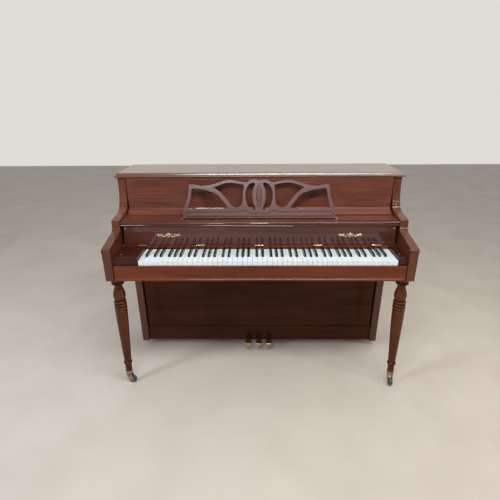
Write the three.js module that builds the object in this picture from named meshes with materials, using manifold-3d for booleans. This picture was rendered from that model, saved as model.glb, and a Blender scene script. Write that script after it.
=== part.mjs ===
// An upright console piano, closed cabinet on two turned front legs.
// Millimetres, +Z up, +X to the player's right, -Y towards the player.
// The origin is on the floor, in the middle of the piano's box.
//
// Most sections are drawn in [depth, height] pairs: depth is measured back from the fronts of the
// white keys, as a piano maker measures it, and height is measured up from the floor.

import * as THREE from 'three';
import { mergeVertices } from 'three/addons/utils/BufferGeometryUtils.js';
import Module from 'manifold-3d';

const wasm = await Module();
wasm.setup();

// ---------------------------------------------------------------- driving dimensions

const GAP = 0.3; // left between solids that touch
const KEY_FRONT = -295.5; // Y of the white keys' fronts

const SIDE_OUT = 735; // outer face of the side boards, from the middle
const SIDE_IN = 695; // inner face of the side boards
const SIDE_FOOT = 42; // bottom edge of the side boards
const BACK = 597; // depth of the cabinet's back edges
const LID_TOP = 1110;
const LID_UNDER = 1087;
const LID_HALF = 747; // half of the lid's width at its lip
const LID_HINGE = { depth: 600.2, height: 1087.2, radius: 2.9, half: 690 };

const WHITE_PITCH = 23.5;
const WHITE_COUNT = 52;
const KEY_SPLIT = 0.9; // air between two white keys
const KEYS_SHIFT = 38.5; // the keyboard sits to the right of the middle
const KEYS_LEFT = KEYS_SHIFT - (WHITE_COUNT * WHITE_PITCH) / 2;
const KEYS_RIGHT = KEYS_LEFT + WHITE_COUNT * WHITE_PITCH;
const KEY_TOP = 757;
const KEY_UNDER = 733;
const KEY_SHOWN = 150; // length of key in front of the fallboard
const KEY_END = 395; // depth of the far end of a whole key
const BLACK_WIDTH = 11.5;
const BLACK_FRONT = 50;
const BLACK_TOP = 769;
const BLACK_UNDER = 746.5;
const BLACK_SIDE_AIR = 0.75;
const BANK_END = 235; // depth where a bank of joined keys stops

const KEYBED = { under: 660, top: 690, front: 14, back: 410 };
const ARM_UNDER = 654;
const BLOCK_TOP = 773; // cheek blocks beside the keys
const RAIL = { front: 153.2, back: 200, under: 758.5, top: 775.3 };

const FALLBOARD_HINGE = { depth: 150, height: 777, radius: 3, length: 45 };
const FALLBOARD_LEAN = 8; // degrees back from upright when open
const FALLBOARD_HALF = 680;
const LIP_HALF = 691;
const FALLBOARD_HINGE_PITCH = 295;

const SHELF_FRONT = 183;
const SHELF_BACK = 330;
const SHELF_UNDER = 881;
const SHELF_TOP = 899;
const PANEL_FACE = 305;
const PANEL_BACK = 325;

const DESK = { depth: 203, height: 903.3, lean: 27, thick: 14, half: 382 };

const DOOR = { face: 375, back: 395, under: 151, top: 645 };
const TOE = { back: 400, under: 45, top: 148 };
const PEDAL = { pitch: 62, pivot: 420, height: 73, thick: 10, front: 285, end: 458 };
const SLOT = { width: 30, under: 54, top: 84 };

const LEG = { x: 701, depth: 45, top: 652.5, splay: 1.6 };
const LEG_END = 68; // height of the leg's lower end
const CASTER = { offset: 16, radius: 21, width: 17, plate: 62 };
const REAR_CASTER = { x: 630, depth: 557, radius: 25, width: 22 };

const FRAME = { front: 520, back: 595, under: 62, top: 1086.5, post: 70, beam: 108 };
const POST_PITCH = 314.5;

// ---------------------------------------------------------------- materials

function finish(name, color, roughness, metalness = 0) {
  return new THREE.MeshStandardMaterial({ name, color, roughness, metalness });
}

const MAHOGANY = finish('mahogany', 0x5a2a1c, 0.35);
const DESK_WOOD = finish('desk_mahogany', 0x54332f, 0.3);
const INNER_WOOD = finish('inner_wood', 0xb08a5a, 0.7);
const SPRUCE = finish('spruce', 0xc9a468, 0.6);
const IVORY = finish('white_key', 0xf2f4f2, 0.2);
const EBONY = finish('black_key', 0x101012, 0.25);
const BRASS = finish('brass', 0xb89a52, 0.35, 1);
const IRON = finish('gilt_iron', 0x9a7a3c, 0.5, 0.8);
const STEEL = finish('steel', 0x8c8f92, 0.4, 1);
const RUBBER = finish('grey_rubber', 0x5b5f5e, 0.7);

// ---------------------------------------------------------------- helpers

const piano = new THREE.Group();

function place(parent, name, geometry, material) {
  const mesh = new THREE.Mesh(geometry, material);
  mesh.name = name;
  parent.add(mesh);
  return mesh;
}

// Depth behind the key fronts to Y.
const at = (depth) => depth + KEY_FRONT;

// A box from its limits in X, depth and height.
function box(x0, x1, depth0, depth1, z0, z1) {
  const geometry = new THREE.BoxGeometry(x1 - x0, depth1 - depth0, z1 - z0);
  return geometry.translate((x0 + x1) / 2, at((depth0 + depth1) / 2), (z0 + z1) / 2);
}

function polygon(points) {
  return new THREE.Shape(points.map(([x, y]) => new THREE.Vector2(x, y)));
}

// Sweeps a [depth, height] section along X.
function sweepX(section, x0, x1, curveSegments = 4) {
  const shape = Array.isArray(section) ? polygon(section) : section;
  const options = { depth: x1 - x0, bevelEnabled: false, curveSegments };
  const geometry = new THREE.ExtrudeGeometry(shape, options);
  const turn = new THREE.Matrix4().makeBasis(
    new THREE.Vector3(0, 1, 0),
    new THREE.Vector3(0, 0, 1),
    new THREE.Vector3(1, 0, 0),
  );
  return geometry.applyMatrix4(turn).translate(x0, KEY_FRONT, 0);
}

// Sweeps an [x, height] outline from its back face forwards.
function sweepY(shape, yFront, yBack, curveSegments = 6) {
  const options = { depth: yBack - yFront, bevelEnabled: false, curveSegments };
  const geometry = new THREE.ExtrudeGeometry(shape, options);
  return geometry.rotateX(Math.PI / 2).translate(0, yBack, 0);
}

// Sweeps an [x, depth] outline upwards.
function sweepZ(shape, z0, z1, curveSegments = 6) {
  const options = { depth: z1 - z0, bevelEnabled: false, curveSegments };
  const geometry = new THREE.ExtrudeGeometry(shape, options);
  return geometry.translate(0, KEY_FRONT, z0);
}

// Turns a [radius, height] profile about the Z axis.
function turned(profile, sides) {
  const points = profile.map(([r, z]) => new THREE.Vector2(r, z));
  return new THREE.LatheGeometry(points, sides).rotateX(Math.PI / 2);
}

// A cylinder along X, centred on x, depth and height.
function rodX(radius, length, x, depth, z, sides = 12) {
  const geometry = new THREE.CylinderGeometry(radius, radius, length, sides).rotateZ(Math.PI / 2);
  return geometry.translate(x, at(depth), z);
}

function solidOf(geometry) {
  const bare = geometry.index ? geometry.clone() : geometry;
  bare.deleteAttribute('normal');
  bare.deleteAttribute('uv');
  const merged = mergeVertices(bare, 1e-4);
  return new wasm.Manifold(new wasm.Mesh({
    numProp: 3,
    vertProperties: new Float32Array(merged.attributes.position.array),
    triVerts: new Uint32Array(merged.index.array),
  }));
}

function geometryOf(solid) {
  const mesh = solid.getMesh();
  const geometry = new THREE.BufferGeometry();
  geometry.setAttribute('position', new THREE.BufferAttribute(new Float32Array(mesh.vertProperties), 3));
  geometry.setIndex(new THREE.BufferAttribute(new Uint32Array(mesh.triVerts), 1));
  geometry.computeVertexNormals();
  return geometry;
}

// Joins overlapping pieces into one solid.
function joined(...pieces) {
  const solids = pieces.map(solidOf);
  return geometryOf(solids.reduce((whole, next) => whole.add(next)));
}

// Cuts tools out of a base piece.
function cut(base, ...tools) {
  const solids = tools.map(solidOf);
  return geometryOf(solids.reduce((rest, tool) => rest.subtract(tool), solidOf(base)));
}

// ---------------------------------------------------------------- side boards

// One board from floor to lid, with the arm that carries the keyboard in one piece with it.
function sideSection() {
  const edge = new THREE.Shape();
  edge.moveTo(BACK, SIDE_FOOT);
  edge.lineTo(BACK, LID_UNDER);
  edge.lineTo(320, LID_UNDER);
  edge.splineThru([[321, 1041], [318, 1021], [315, 1000], [310, 980]].map(toPoint));
  edge.lineTo(306, 967);
  edge.splineThru([[301, 964], [299, 960], [302, 956]].map(toPoint));
  edge.lineTo(300, 953);
  edge.splineThru([[294, 950], [290, 946], [292, 942]].map(toPoint));
  edge.splineThru([[286, 933], [274, 925], [259, 919], [238, 915], [212, 912], [161, 904]].map(toPoint));
  edge.lineTo(158, 868);
  edge.splineThru([[154, 865], [151, 861], [151, 857], [150, 854]].map(toPoint));
  edge.splineThru([[143, 850], [126, 845], [89, 839], [54, 831], [10, 820.5], [0, 818.5]].map(toPoint));
  edge.splineThru([[-6, 816], [-10.5, 811], [-11.5, 806], [-9.5, 801]].map(toPoint));
  edge.lineTo(-8, 797);
  edge.lineTo(-8, ARM_UNDER);
  edge.lineTo(364, ARM_UNDER);
  edge.lineTo(366, SIDE_FOOT);
  return edge;
}

function toPoint([depth, height]) {
  return new THREE.Vector2(depth, height);
}

place(piano, 'left_side', sweepX(sideSection(), -SIDE_OUT, -SIDE_IN, 2), MAHOGANY);
place(piano, 'right_side', sweepX(sideSection(), SIDE_IN, SIDE_OUT, 2), MAHOGANY);

// ---------------------------------------------------------------- lid

// A stack of rectangles: each level sets the front and both ends in by its own amount,
// which gives the moulded nose, while the back edge stays plumb.
function mouldedBoard(levels, half, front, back) {
  const corners = levels.map(([inset, z]) => [
    [-half + inset, front + inset, z],
    [half - inset, front + inset, z],
    [half - inset, back, z],
    [-half + inset, back, z],
  ]);
  const positions = corners.flat().flatMap(([x, depth, z]) => [x, at(depth), z]);
  const faces = [0, 2, 1, 0, 3, 2];
  for (let level = 0; level + 1 < levels.length; level++) {
    for (let side = 0; side < 4; side++) {
      const a = level * 4 + side;
      const b = level * 4 + ((side + 1) % 4);
      faces.push(a, b, b + 4, a, b + 4, a + 4);
    }
  }
  const top = (levels.length - 1) * 4;
  faces.push(top, top + 1, top + 2, top, top + 2, top + 3);
  const geometry = new THREE.BufferGeometry();
  geometry.setAttribute('position', new THREE.Float32BufferAttribute(positions, 3));
  geometry.setIndex(faces);
  geometry.computeVertexNormals();
  return geometry;
}

const LID_NOSE = [
  [4, LID_UNDER + GAP],
  [0.8, LID_UNDER + 2],
  [0, LID_UNDER + 5],
  [1.5, LID_UNDER + 8.5],
  [6, LID_UNDER + 11],
  [8, LID_UNDER + 14],
  [10, LID_UNDER + 19],
  [13, LID_UNDER + 22],
  [16, LID_TOP],
];
place(piano, 'lid', mouldedBoard(LID_NOSE, LID_HALF, 309, BACK), MAHOGANY);

// Long hinge behind the lid: one leaf screwed to the back, and the barrel that the lid turns on.
place(piano, 'lid_hinge', joined(
  rodX(LID_HINGE.radius, 2 * LID_HINGE.half, 0, LID_HINGE.depth, LID_HINGE.height, 10),
  box(-LID_HINGE.half, LID_HINGE.half, FRAME.back + GAP, 597.9, 1065, LID_UNDER - 0.1),
), BRASS);

// ---------------------------------------------------------------- upper front panel and shelf

const PANEL_SECTION = [
  [PANEL_BACK, SHELF_TOP + GAP],
  [PANEL_BACK, LID_UNDER - 0.5],
  [PANEL_FACE, LID_UNDER - 0.5],
  [PANEL_FACE, 931],
  [302, 926],
  [296, 923],
  [287, 922],
  [282, 920],
  [280, 916],
  [279, 911],
  [272, 908.5],
  [269, 907],
  [268, 904],
  [268, SHELF_TOP + GAP],
];
place(piano, 'upper_panel', sweepX(PANEL_SECTION, -687, 687), MAHOGANY);
place(piano, 'music_shelf',
  box(-LIP_HALF - 3, LIP_HALF + 3, SHELF_FRONT, SHELF_BACK, SHELF_UNDER, SHELF_TOP), MAHOGANY);

// ---------------------------------------------------------------- music desk

// A pierced board drawn in its own plane: x from the middle, v up from its bottom edge.
function deskOutline() {
  const half = DESK.half;
  const right = new THREE.Path();
  right.moveTo(0, 0);
  right.lineTo(half - 4, 0);
  right.quadraticCurveTo(half, 0, half, 4);
  right.lineTo(half, 44);
  right.bezierCurveTo(374, 66, 362, 98, 360, 122);
  right.lineTo(357, 164);
  right.quadraticCurveTo(356, 175, 345, 174);
  right.splineThru([
    [300, 166], [264, 167], [220, 177], [179, 190], [158, 194], [138, 194], [105, 188], [69, 183], [58, 185],
  ].map(toPoint));
  right.splineThru([[47, 193], [34, 197], [20, 197], [9, 194], [0, 192.5]].map(toPoint));
  const points = right.getPoints(3);
  const left = points.slice(1, -1).reverse().map((p) => new THREE.Vector2(-p.x, p.y));
  return new THREE.Shape([...points, ...left]);
}

// The three openings of the right half, each closed on itself.
function deskOpenings() {
  const wide = new THREE.Path();
  wide.moveTo(163, 48);
  wide.lineTo(354, 48);
  wide.quadraticCurveTo(361, 49, 359, 57);
  wide.splineThru([[350, 88], [345, 120], [343, 144], [337, 153]].map(toPoint));
  wide.splineThru([[300, 149], [262, 141], [213, 122], [186, 92], [157, 54], [163, 48]].map(toPoint));

  const leaf = new THREE.Path();
  leaf.moveTo(230, 157);
  leaf.splineThru([[208, 167], [185, 175], [160, 180], [138, 181], [109, 177], [77, 170]].map(toPoint));
  leaf.splineThru([[80.5, 140], [82, 112], [83, 88], [88, 69]].map(toPoint));
  leaf.splineThru([[101, 57], [118, 54], [134, 60], [150, 77], [170, 103], [190, 126], [208, 142], [230, 157]]
    .map(toPoint));

  const crescent = new THREE.Path();
  crescent.moveTo(31, 182);
  crescent.splineThru([[52, 171], [65, 147], [69, 112], [62, 74], [47, 52], [25, 41]].map(toPoint));
  crescent.splineThru([[17, 46], [26, 68], [32.5, 104], [31.5, 142], [20, 176], [31, 182]].map(toPoint));
  return [wide, leaf, crescent];
}

function openDesk() {
  const shape = deskOutline();
  for (const opening of deskOpenings()) {
    const right = opening.getPoints(2);
    shape.holes.push(new THREE.Path(right));
    shape.holes.push(new THREE.Path(right.map((p) => new THREE.Vector2(-p.x, p.y))));
  }
  return sweepY(shape, -DESK.thick / 2, DESK.thick / 2);
}

const deskGroup = new THREE.Group();
deskGroup.position.set(0, at(DESK.depth), DESK.height);
deskGroup.rotation.x = -THREE.MathUtils.degToRad(DESK.lean);
piano.add(deskGroup);
place(deskGroup, 'music_desk', openDesk(), DESK_WOOD);

// A small angle at each end of the desk, with the pin that the desk tips on.
for (const [name, side] of [['desk_bracket_left', -1], ['desk_bracket_right', 1]]) {
  const inner = side * (DESK.half + 1);
  const outer = side * (DESK.half + 14);
  const [x0, x1] = [Math.min(inner, outer), Math.max(inner, outer)];
  const cheek = [Math.min(inner, inner + side * 2.5), Math.max(inner, inner + side * 2.5)];
  place(piano, name, joined(
    box(x0, x1, DESK.depth - 7, DESK.depth + 9, SHELF_TOP + GAP, SHELF_TOP + 2.6),
    box(cheek[0], cheek[1], DESK.depth - 7, DESK.depth + 9, SHELF_TOP + 1, DESK.height + 7),
    rodX(3, 6, inner + side * 4, DESK.depth, DESK.height, 10),
  ), BRASS);
}

// ---------------------------------------------------------------- fallboard

// Drawn in its own plane: a runs up the board from the hinge, b runs to its back.
function fallboardPoint(a, b) {
  const lean = THREE.MathUtils.degToRad(FALLBOARD_LEAN);
  return [
    FALLBOARD_HINGE.depth + a * Math.sin(lean) + b * Math.cos(lean),
    FALLBOARD_HINGE.height + a * Math.cos(lean) - b * Math.sin(lean),
  ];
}

const BOARD_SECTION = [[3.8, 1], [100, 1], [100, 15], [3.8, 15]];
const LIP_SECTION = [
  [97, 15],
  [97, -3],
  [99, -5],
  [110, -5],
  [111, -7],
  [114, -8.5],
  [117, -8],
  [118, -6],
  [120.5, -5],
  [122, -2],
  [122, 15],
];
const sectionOf = (pairs) => pairs.map(([a, b]) => fallboardPoint(a, b)).reverse();
place(piano, 'fallboard', joined(
  sweepX(sectionOf(BOARD_SECTION), -FALLBOARD_HALF, FALLBOARD_HALF),
  sweepX(sectionOf(LIP_SECTION), -LIP_HALF, LIP_HALF),
), MAHOGANY);

// Rubber buttons on the board that land on the cheek blocks when it is shut.
const BUMPER = { x: 668, a: 87, height: 8, radius: 6 };
for (const [name, side] of [['fallboard_bumper_left', -1], ['fallboard_bumper_right', 1]]) {
  const button = new THREE.CylinderGeometry(BUMPER.radius, BUMPER.radius, BUMPER.height, 12);
  button.rotateX(THREE.MathUtils.degToRad(-FALLBOARD_LEAN));
  const [depth, height] = fallboardPoint(BUMPER.a, 1 - GAP - BUMPER.height / 2);
  button.translate(side * BUMPER.x, at(depth), height);
  place(piano, name, button, RUBBER);
}

place(piano, 'fallboard_rail',
  box(-SIDE_IN + GAP, SIDE_IN - GAP, RAIL.front, RAIL.back, RAIL.under, RAIL.top), MAHOGANY);

for (let index = 0; index < 5; index++) {
  const x = (index - 2) * FALLBOARD_HINGE_PITCH;
  const half = FALLBOARD_HINGE.length / 2;
  place(piano, `fallboard_hinge_${index + 1}`, joined(
    rodX(FALLBOARD_HINGE.radius, 2 * half, x, FALLBOARD_HINGE.depth, FALLBOARD_HINGE.height, 12),
    box(x - half, x + half, FALLBOARD_HINGE.depth, 166, RAIL.top + GAP, RAIL.top + GAP + 1),
  ), BRASS);
}

// ---------------------------------------------------------------- key bed, blocks and slip

// The bed with the front rail and the balance rail that the keys rock on.
place(piano, 'keybed', joined(
  box(-SIDE_IN + GAP, SIDE_IN - GAP, KEYBED.front, KEYBED.back, KEYBED.under, KEYBED.top),
  box(KEYS_LEFT, KEYS_RIGHT, 25, 60, KEYBED.top - 1, KEYBED.top + 15),
  box(KEYS_LEFT, KEYS_RIGHT, 205, 225, KEYBED.top - 1, KEY_UNDER - 1),
), INNER_WOOD);

const BLOCK_SECTION = [
  [RAIL.front - GAP, KEYBED.top + GAP],
  [RAIL.front - GAP, BLOCK_TOP],
  [9, BLOCK_TOP],
  [5, BLOCK_TOP - 1.2],
  [2.5, BLOCK_TOP - 4],
  [2, BLOCK_TOP - 8],
  [2, KEYBED.top + 2],
  [14, KEYBED.top + GAP],
];
place(piano, 'key_block_left', sweepX(BLOCK_SECTION, -SIDE_IN + GAP, KEYS_LEFT - 1.5), MAHOGANY);
place(piano, 'key_block_right', sweepX(BLOCK_SECTION, KEYS_RIGHT + 1.5, SIDE_IN - GAP), MAHOGANY);

// The slip is rebated behind, so that the key fronts can dip over its foot.
const SLIP_SECTION = [
  [13.7, 656.5],
  [13.7, 688],
  [-2, 690],
  [-2, 733],
  [-6.5, 733],
  [-8, 731.5],
  [-8, 668.5],
  [-10, 667],
  [-12, 664.5],
  [-12.5, 661.5],
  [-12, 658.5],
  [-10, 656.5],
];
const SLIP_HALF = SIDE_IN - 4.5;
place(piano, 'keyslip', sweepX(SLIP_SECTION, -SLIP_HALF, SLIP_HALF), MAHOGANY);

// ---------------------------------------------------------------- keys

// Shift of each black key's middle from the gap between its two white keys, by the white key
// on its left, counted from A.
const BLACK_AFTER = [0.17, null, -0.11, 0.11, null, -0.17, 0];
const NOTE_NAMES = ['a', 'b', 'c', 'd', 'e', 'f', 'g'];
const MIDDLE_C = 23; // white keys below middle C
const OCTAVE = 7;

// Middle of the black key between white keys `white` and `white + 1`, or null where there is none.
function blackMiddle(white) {
  const shift = BLACK_AFTER[white % OCTAVE];
  if (white < 0 || white >= WHITE_COUNT - 1 || shift === null) {
    return null;
  }
  return KEYS_LEFT + (white + 1 + shift) * WHITE_PITCH;
}

// A white key from above: a wide head, and a tail that is notched for its black neighbours.
function whiteOutline(white, end) {
  const x0 = KEYS_LEFT + white * WHITE_PITCH + KEY_SPLIT / 2;
  const x1 = x0 + WHITE_PITCH - KEY_SPLIT;
  const notch = BLACK_FRONT - 1.5;
  const reach = BLACK_WIDTH / 2 + BLACK_SIDE_AIR;
  const before = blackMiddle(white - 1);
  const after = blackMiddle(white);
  const points = [[x0, 0], [x1, 0]];
  if (after === null) {
    points.push([x1, end]);
  } else {
    points.push([x1, notch], [after - reach, notch], [after - reach, end]);
  }
  if (before === null) {
    points.push([x0, end]);
  } else {
    points.push([before + reach, end], [before + reach, notch], [x0, notch]);
  }
  return polygon(points);
}

// The hidden webs behind the fallboard rail, the white keys' below the black keys'.
const WHITE_WEB = [KEY_UNDER, KEY_UNDER + 7];
const BLACK_WEB = [BLACK_UNDER, BLACK_UNDER + 9.5];
const WHITE_WEB_FRONT = KEY_SHOWN - 1;
const BLACK_WEB_FRONT = KEY_SHOWN + 1.6;

function blackHead(middle) {
  const section = [
    [BLACK_WEB_FRONT + 0.9, BLACK_UNDER],
    [BLACK_WEB_FRONT + 0.9, BLACK_TOP],
    [61, BLACK_TOP],
    [57, BLACK_TOP - 1.5],
    [51, KEY_TOP + 1],
    [BLACK_FRONT, KEY_TOP - 2],
    [BLACK_FRONT, BLACK_UNDER],
  ];
  return sweepX(section, middle - BLACK_WIDTH / 2, middle + BLACK_WIDTH / 2);
}

function whiteBank(first, last) {
  const heads = [];
  for (let white = first; white <= last; white++) {
    heads.push(sweepZ(whiteOutline(white, KEY_SHOWN), KEY_UNDER, KEY_TOP));
  }
  const x0 = KEYS_LEFT + first * WHITE_PITCH + 1;
  const x1 = KEYS_LEFT + (last + 1) * WHITE_PITCH - 1;
  return joined(box(x0, x1, WHITE_WEB_FRONT, BANK_END, ...WHITE_WEB), ...heads);
}

function blackBank(first, last) {
  const middles = [];
  for (let white = first; white <= last; white++) {
    const middle = blackMiddle(white);
    if (middle !== null) {
      middles.push(middle);
    }
  }
  const x0 = middles[0] - BLACK_WIDTH / 2;
  const x1 = middles[middles.length - 1] + BLACK_WIDTH / 2;
  return joined(box(x0, x1, BLACK_WEB_FRONT, BANK_END, ...BLACK_WEB), ...middles.map(blackHead));
}

// The outer octaves are joined into banks, and the octave from middle C has its keys apart.
place(piano, 'white_keys_bass', whiteBank(0, MIDDLE_C - 1), IVORY);
place(piano, 'black_keys_bass', blackBank(0, MIDDLE_C - 2), EBONY);
place(piano, 'white_keys_treble', whiteBank(MIDDLE_C + OCTAVE, WHITE_COUNT - 1), IVORY);
place(piano, 'black_keys_treble', blackBank(MIDDLE_C + OCTAVE, WHITE_COUNT - 1), EBONY);

for (let white = MIDDLE_C; white < MIDDLE_C + OCTAVE; white++) {
  const note = NOTE_NAMES[white % OCTAVE];
  const middle = blackMiddle(white);
  place(piano, `key_${note}4`, sweepZ(whiteOutline(white, KEY_END), KEY_UNDER, KEY_TOP), IVORY);
  if (middle !== null) {
    const half = BLACK_WIDTH / 2;
    const stick = box(middle - half, middle + half, BLACK_WEB_FRONT, KEY_END, ...BLACK_WEB);
    place(piano, `key_${note}_sharp4`, joined(blackHead(middle), stick), EBONY);
  }
}

// ---------------------------------------------------------------- turned front legs and casters

const LEG_PROFILE = [
  [0, LEG.top], [30, LEG.top], [30, 632], [28, 627], [30, 624], [30.5, 621], [28, 617.5], [21.5, 612],
  [19.8, 602], [20.5, 594], [25, 580], [28.5, 565], [29.5, 550], [28.5, 537], [24, 525], [26, 522],
  [29.5, 519], [29.5, 514], [25.5, 511], [24.5, 508], [29, 504.5], [30, 500], [29, 495.5], [25, 492],
  [25, 489], [29, 486], [31, 482], [30.5, 478], [27, 474], [29, 471], [30, 466], [29.8, 440],
  [28.2, 380], [25, 300], [22, 225], [19.2, 157], [18.8, 145], [21.5, 141.5], [22.3, 137], [21, 133],
  [17.2, 130], [17, 106], [16.6, 90], [16.6, LEG_END], [0, LEG_END],
].map(([r, z]) => [r, z - LEG.top]).reverse();

const wheelProfile = (radius, width) => [
  [0, -width / 2],
  [radius - 2, -width / 2],
  [radius, -width / 2 + 2],
  [radius, width / 2 - 2],
  [radius - 2, width / 2],
  [0, width / 2],
];

// The fork's two cheeks, cut in the plane that the wheel rolls in: t points at the wheel.
function casterCheek() {
  const { offset, plate } = CASTER;
  const shape = new THREE.Shape();
  shape.moveTo(-13, plate);
  shape.lineTo(-12, plate - 12);
  shape.lineTo(offset - 8, CASTER.radius - 3);
  shape.quadraticCurveTo(offset, CASTER.radius - 12, offset + 8, CASTER.radius - 2);
  shape.lineTo(14, plate - 8);
  shape.lineTo(13, plate);
  return shape;
}

// Each fork is swivelled to its own heading, in degrees from +X.
function frontCaster(side, word, heading) {
  const splay = THREE.MathUtils.degToRad(LEG.splay);
  const foot = LEG.x + Math.sin(splay) * (LEG.top - LEG_END);
  const fork = new THREE.Group();
  fork.position.set(side * foot, at(LEG.depth), 0);
  fork.rotation.z = THREE.MathUtils.degToRad(heading);
  piano.add(fork);
  const inside = CASTER.width / 2 + 1;
  const cheek = (y) => sweepY(casterCheek(), y, y + 2.6, 4);
  const crown = new THREE.CylinderGeometry(15, 15, 5, 14).rotateX(Math.PI / 2).translate(0, 0, CASTER.plate);
  const seat = new THREE.BoxGeometry(24, 2 * inside + 5, 4).translate(0, 0, CASTER.plate - 3);
  place(fork, `front_caster_fork_${word}`, joined(crown, seat, cheek(inside), cheek(-inside - 2.6)), BRASS);
  const wheel = turned(wheelProfile(CASTER.radius, CASTER.width), 20).rotateX(Math.PI / 2);
  wheel.translate(CASTER.offset, 0, CASTER.radius);
  place(fork, `front_caster_wheel_${word}`, wheel, RUBBER);
}

for (const [side, word, heading] of [[-1, 'left', 0], [1, 'right', -90]]) {
  const leg = new THREE.Group();
  leg.position.set(side * LEG.x, at(LEG.depth), LEG.top);
  leg.rotation.y = -side * THREE.MathUtils.degToRad(LEG.splay);
  piano.add(leg);
  place(leg, `front_leg_${word}`, turned(LEG_PROFILE, 16), MAHOGANY);
  frontCaster(side, word, heading);
}

// ---------------------------------------------------------------- lower case

place(piano, 'lower_door', box(-688, 688, DOOR.face, DOOR.back, DOOR.under, DOOR.top), MAHOGANY);

const pedalX = (index) => (index - 1) * PEDAL.pitch;

const slots = [0, 1, 2].map((index) => {
  const [x0, x1] = [pedalX(index) - SLOT.width / 2, pedalX(index) + SLOT.width / 2];
  return box(x0, x1, DOOR.face - 1, TOE.back + 1, SLOT.under, SLOT.top);
});
place(piano, 'toe_board',
  cut(box(-SIDE_IN + GAP, SIDE_IN - GAP, DOOR.face, TOE.back, TOE.under, TOE.top), ...slots), MAHOGANY);

// The bottom board carries an ear on each side of every pedal lever.
const ears = [];
for (let index = 0; index < 3; index++) {
  for (const side of [-1, 1]) {
    const x = pedalX(index) + side * 13;
    ears.push(box(x - 3, x + 3, PEDAL.pivot - 9, PEDAL.pivot + 9, 59, PEDAL.height + 12));
  }
}
place(piano, 'bottom_board',
  joined(box(-SIDE_IN + GAP, SIDE_IN - GAP, TOE.back + GAP, FRAME.front - GAP, 44, 60), ...ears), INNER_WOOD);

// A pedal from above: a rounded paddle that narrows to the lever behind the toe board.
function pedalOutline() {
  const shape = new THREE.Shape();
  shape.moveTo(-7, PEDAL.end);
  shape.lineTo(-7, 366);
  shape.bezierCurveTo(-8, 340, -19, 330, -20, 305);
  shape.absarc(0, PEDAL.front + 20, 20, Math.PI, 2 * Math.PI, false);
  shape.bezierCurveTo(19, 330, 8, 340, 7, 366);
  shape.lineTo(7, PEDAL.end);
  return shape;
}

['soft_pedal', 'middle_pedal', 'damper_pedal'].forEach((name, index) => {
  const [z0, z1] = [PEDAL.height - PEDAL.thick / 2, PEDAL.height + PEDAL.thick / 2];
  place(piano, name, sweepZ(pedalOutline(), z0, z1, 6).translate(pedalX(index), 0, 0), BRASS);
});

const damperRod = new THREE.CylinderGeometry(4, 4, 680, 10).rotateX(Math.PI / 2);
damperRod.translate(pedalX(2), at(450), PEDAL.height + PEDAL.thick / 2 + 1 + 340);
place(piano, 'damper_rod', damperRod, INNER_WOOD);

// ---------------------------------------------------------------- inside and back

// Five posts between a top and a bottom beam, glued up as one frame.
function backFrame() {
  const half = SIDE_IN - 0.5;
  const whole = box(-half, half, FRAME.front, FRAME.back, FRAME.under, FRAME.top);
  const bays = [-2, -1, 0, 1].map((bay) => {
    const x0 = bay * POST_PITCH + FRAME.post / 2;
    const x1 = x0 + POST_PITCH - FRAME.post;
    return box(x0, x1, FRAME.front - 1, FRAME.back + 1, FRAME.under + FRAME.beam, FRAME.top - FRAME.beam);
  });
  return cut(whole, ...bays);
}
place(piano, 'back_frame', backFrame(), INNER_WOOD);

// Soundboard with its liner round the edge and slanting ribs behind it.
const BOARD = { half: 689, under: 172, top: 966, front: 497, thick: 8 };

function soundboard() {
  const { half, under, top, front, thick } = BOARD;
  const back = front + thick;
  const liner = FRAME.front - GAP;
  const field = solidOf(box(-half, half, front, back + 15, under, top));
  const pieces = [
    box(-half, half, front, back, under, top),
    box(-half, half, back - 1, liner, under, under + 40),
    box(-half, half, back - 1, liner, top - 40, top),
    box(-half, -half + 25, back - 1, liner, under, top),
    box(half - 25, half, back - 1, liner, under, top),
  ].map(solidOf);
  for (let rib = -4; rib <= 4; rib++) {
    const bar = new THREE.BoxGeometry(24, 12, 2000);
    bar.rotateY(THREE.MathUtils.degToRad(38));
    bar.translate(rib * 225, at(back + 5), (under + top) / 2);
    pieces.push(solidOf(bar).intersect(field));
  }
  return geometryOf(pieces.reduce((whole, next) => whole.add(next)));
}
place(piano, 'soundboard', soundboard(), SPRUCE);

place(piano, 'pin_block',
  box(-688, 688, 486, FRAME.front - GAP, BOARD.top + 5, 1068), INNER_WOOD);

// Cast plate: a thin web with a rim and upright struts that take the pull of the strings.
const strutXs = [-560, -300, -60, 190, 430, 620];
place(piano, 'string_plate', joined(
  box(-688, 688, 478, 485.6, 155, 1060),
  box(-688, 688, 472, 480, 155, 185),
  box(-688, 688, 470, 480, 1040, 1060),
  ...strutXs.map((x) => box(x - 9, x + 9, 468, 480, 170, 1050)),
), IRON);

// The action as one frame: three rails across four brackets.
const bracketXs = [-575, -190, 250, 650];
place(piano, 'action_frame', joined(
  box(KEYS_LEFT, KEYS_RIGHT, 350, 376, 790, 812),
  box(KEYS_LEFT, KEYS_RIGHT, 372, 394, 868, 888),
  box(KEYS_LEFT, KEYS_RIGHT, 340, 352, 930, 950),
  ...bracketXs.map((x) => sweepX([
    [346, 690.3], [400, 690.3], [392, 780], [396, 890], [352, 955], [338, 955], [344, 920], [372, 860], [352, 790],
  ], x - 4, x + 4)),
), INNER_WOOD);

// ---------------------------------------------------------------- rear casters

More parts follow.
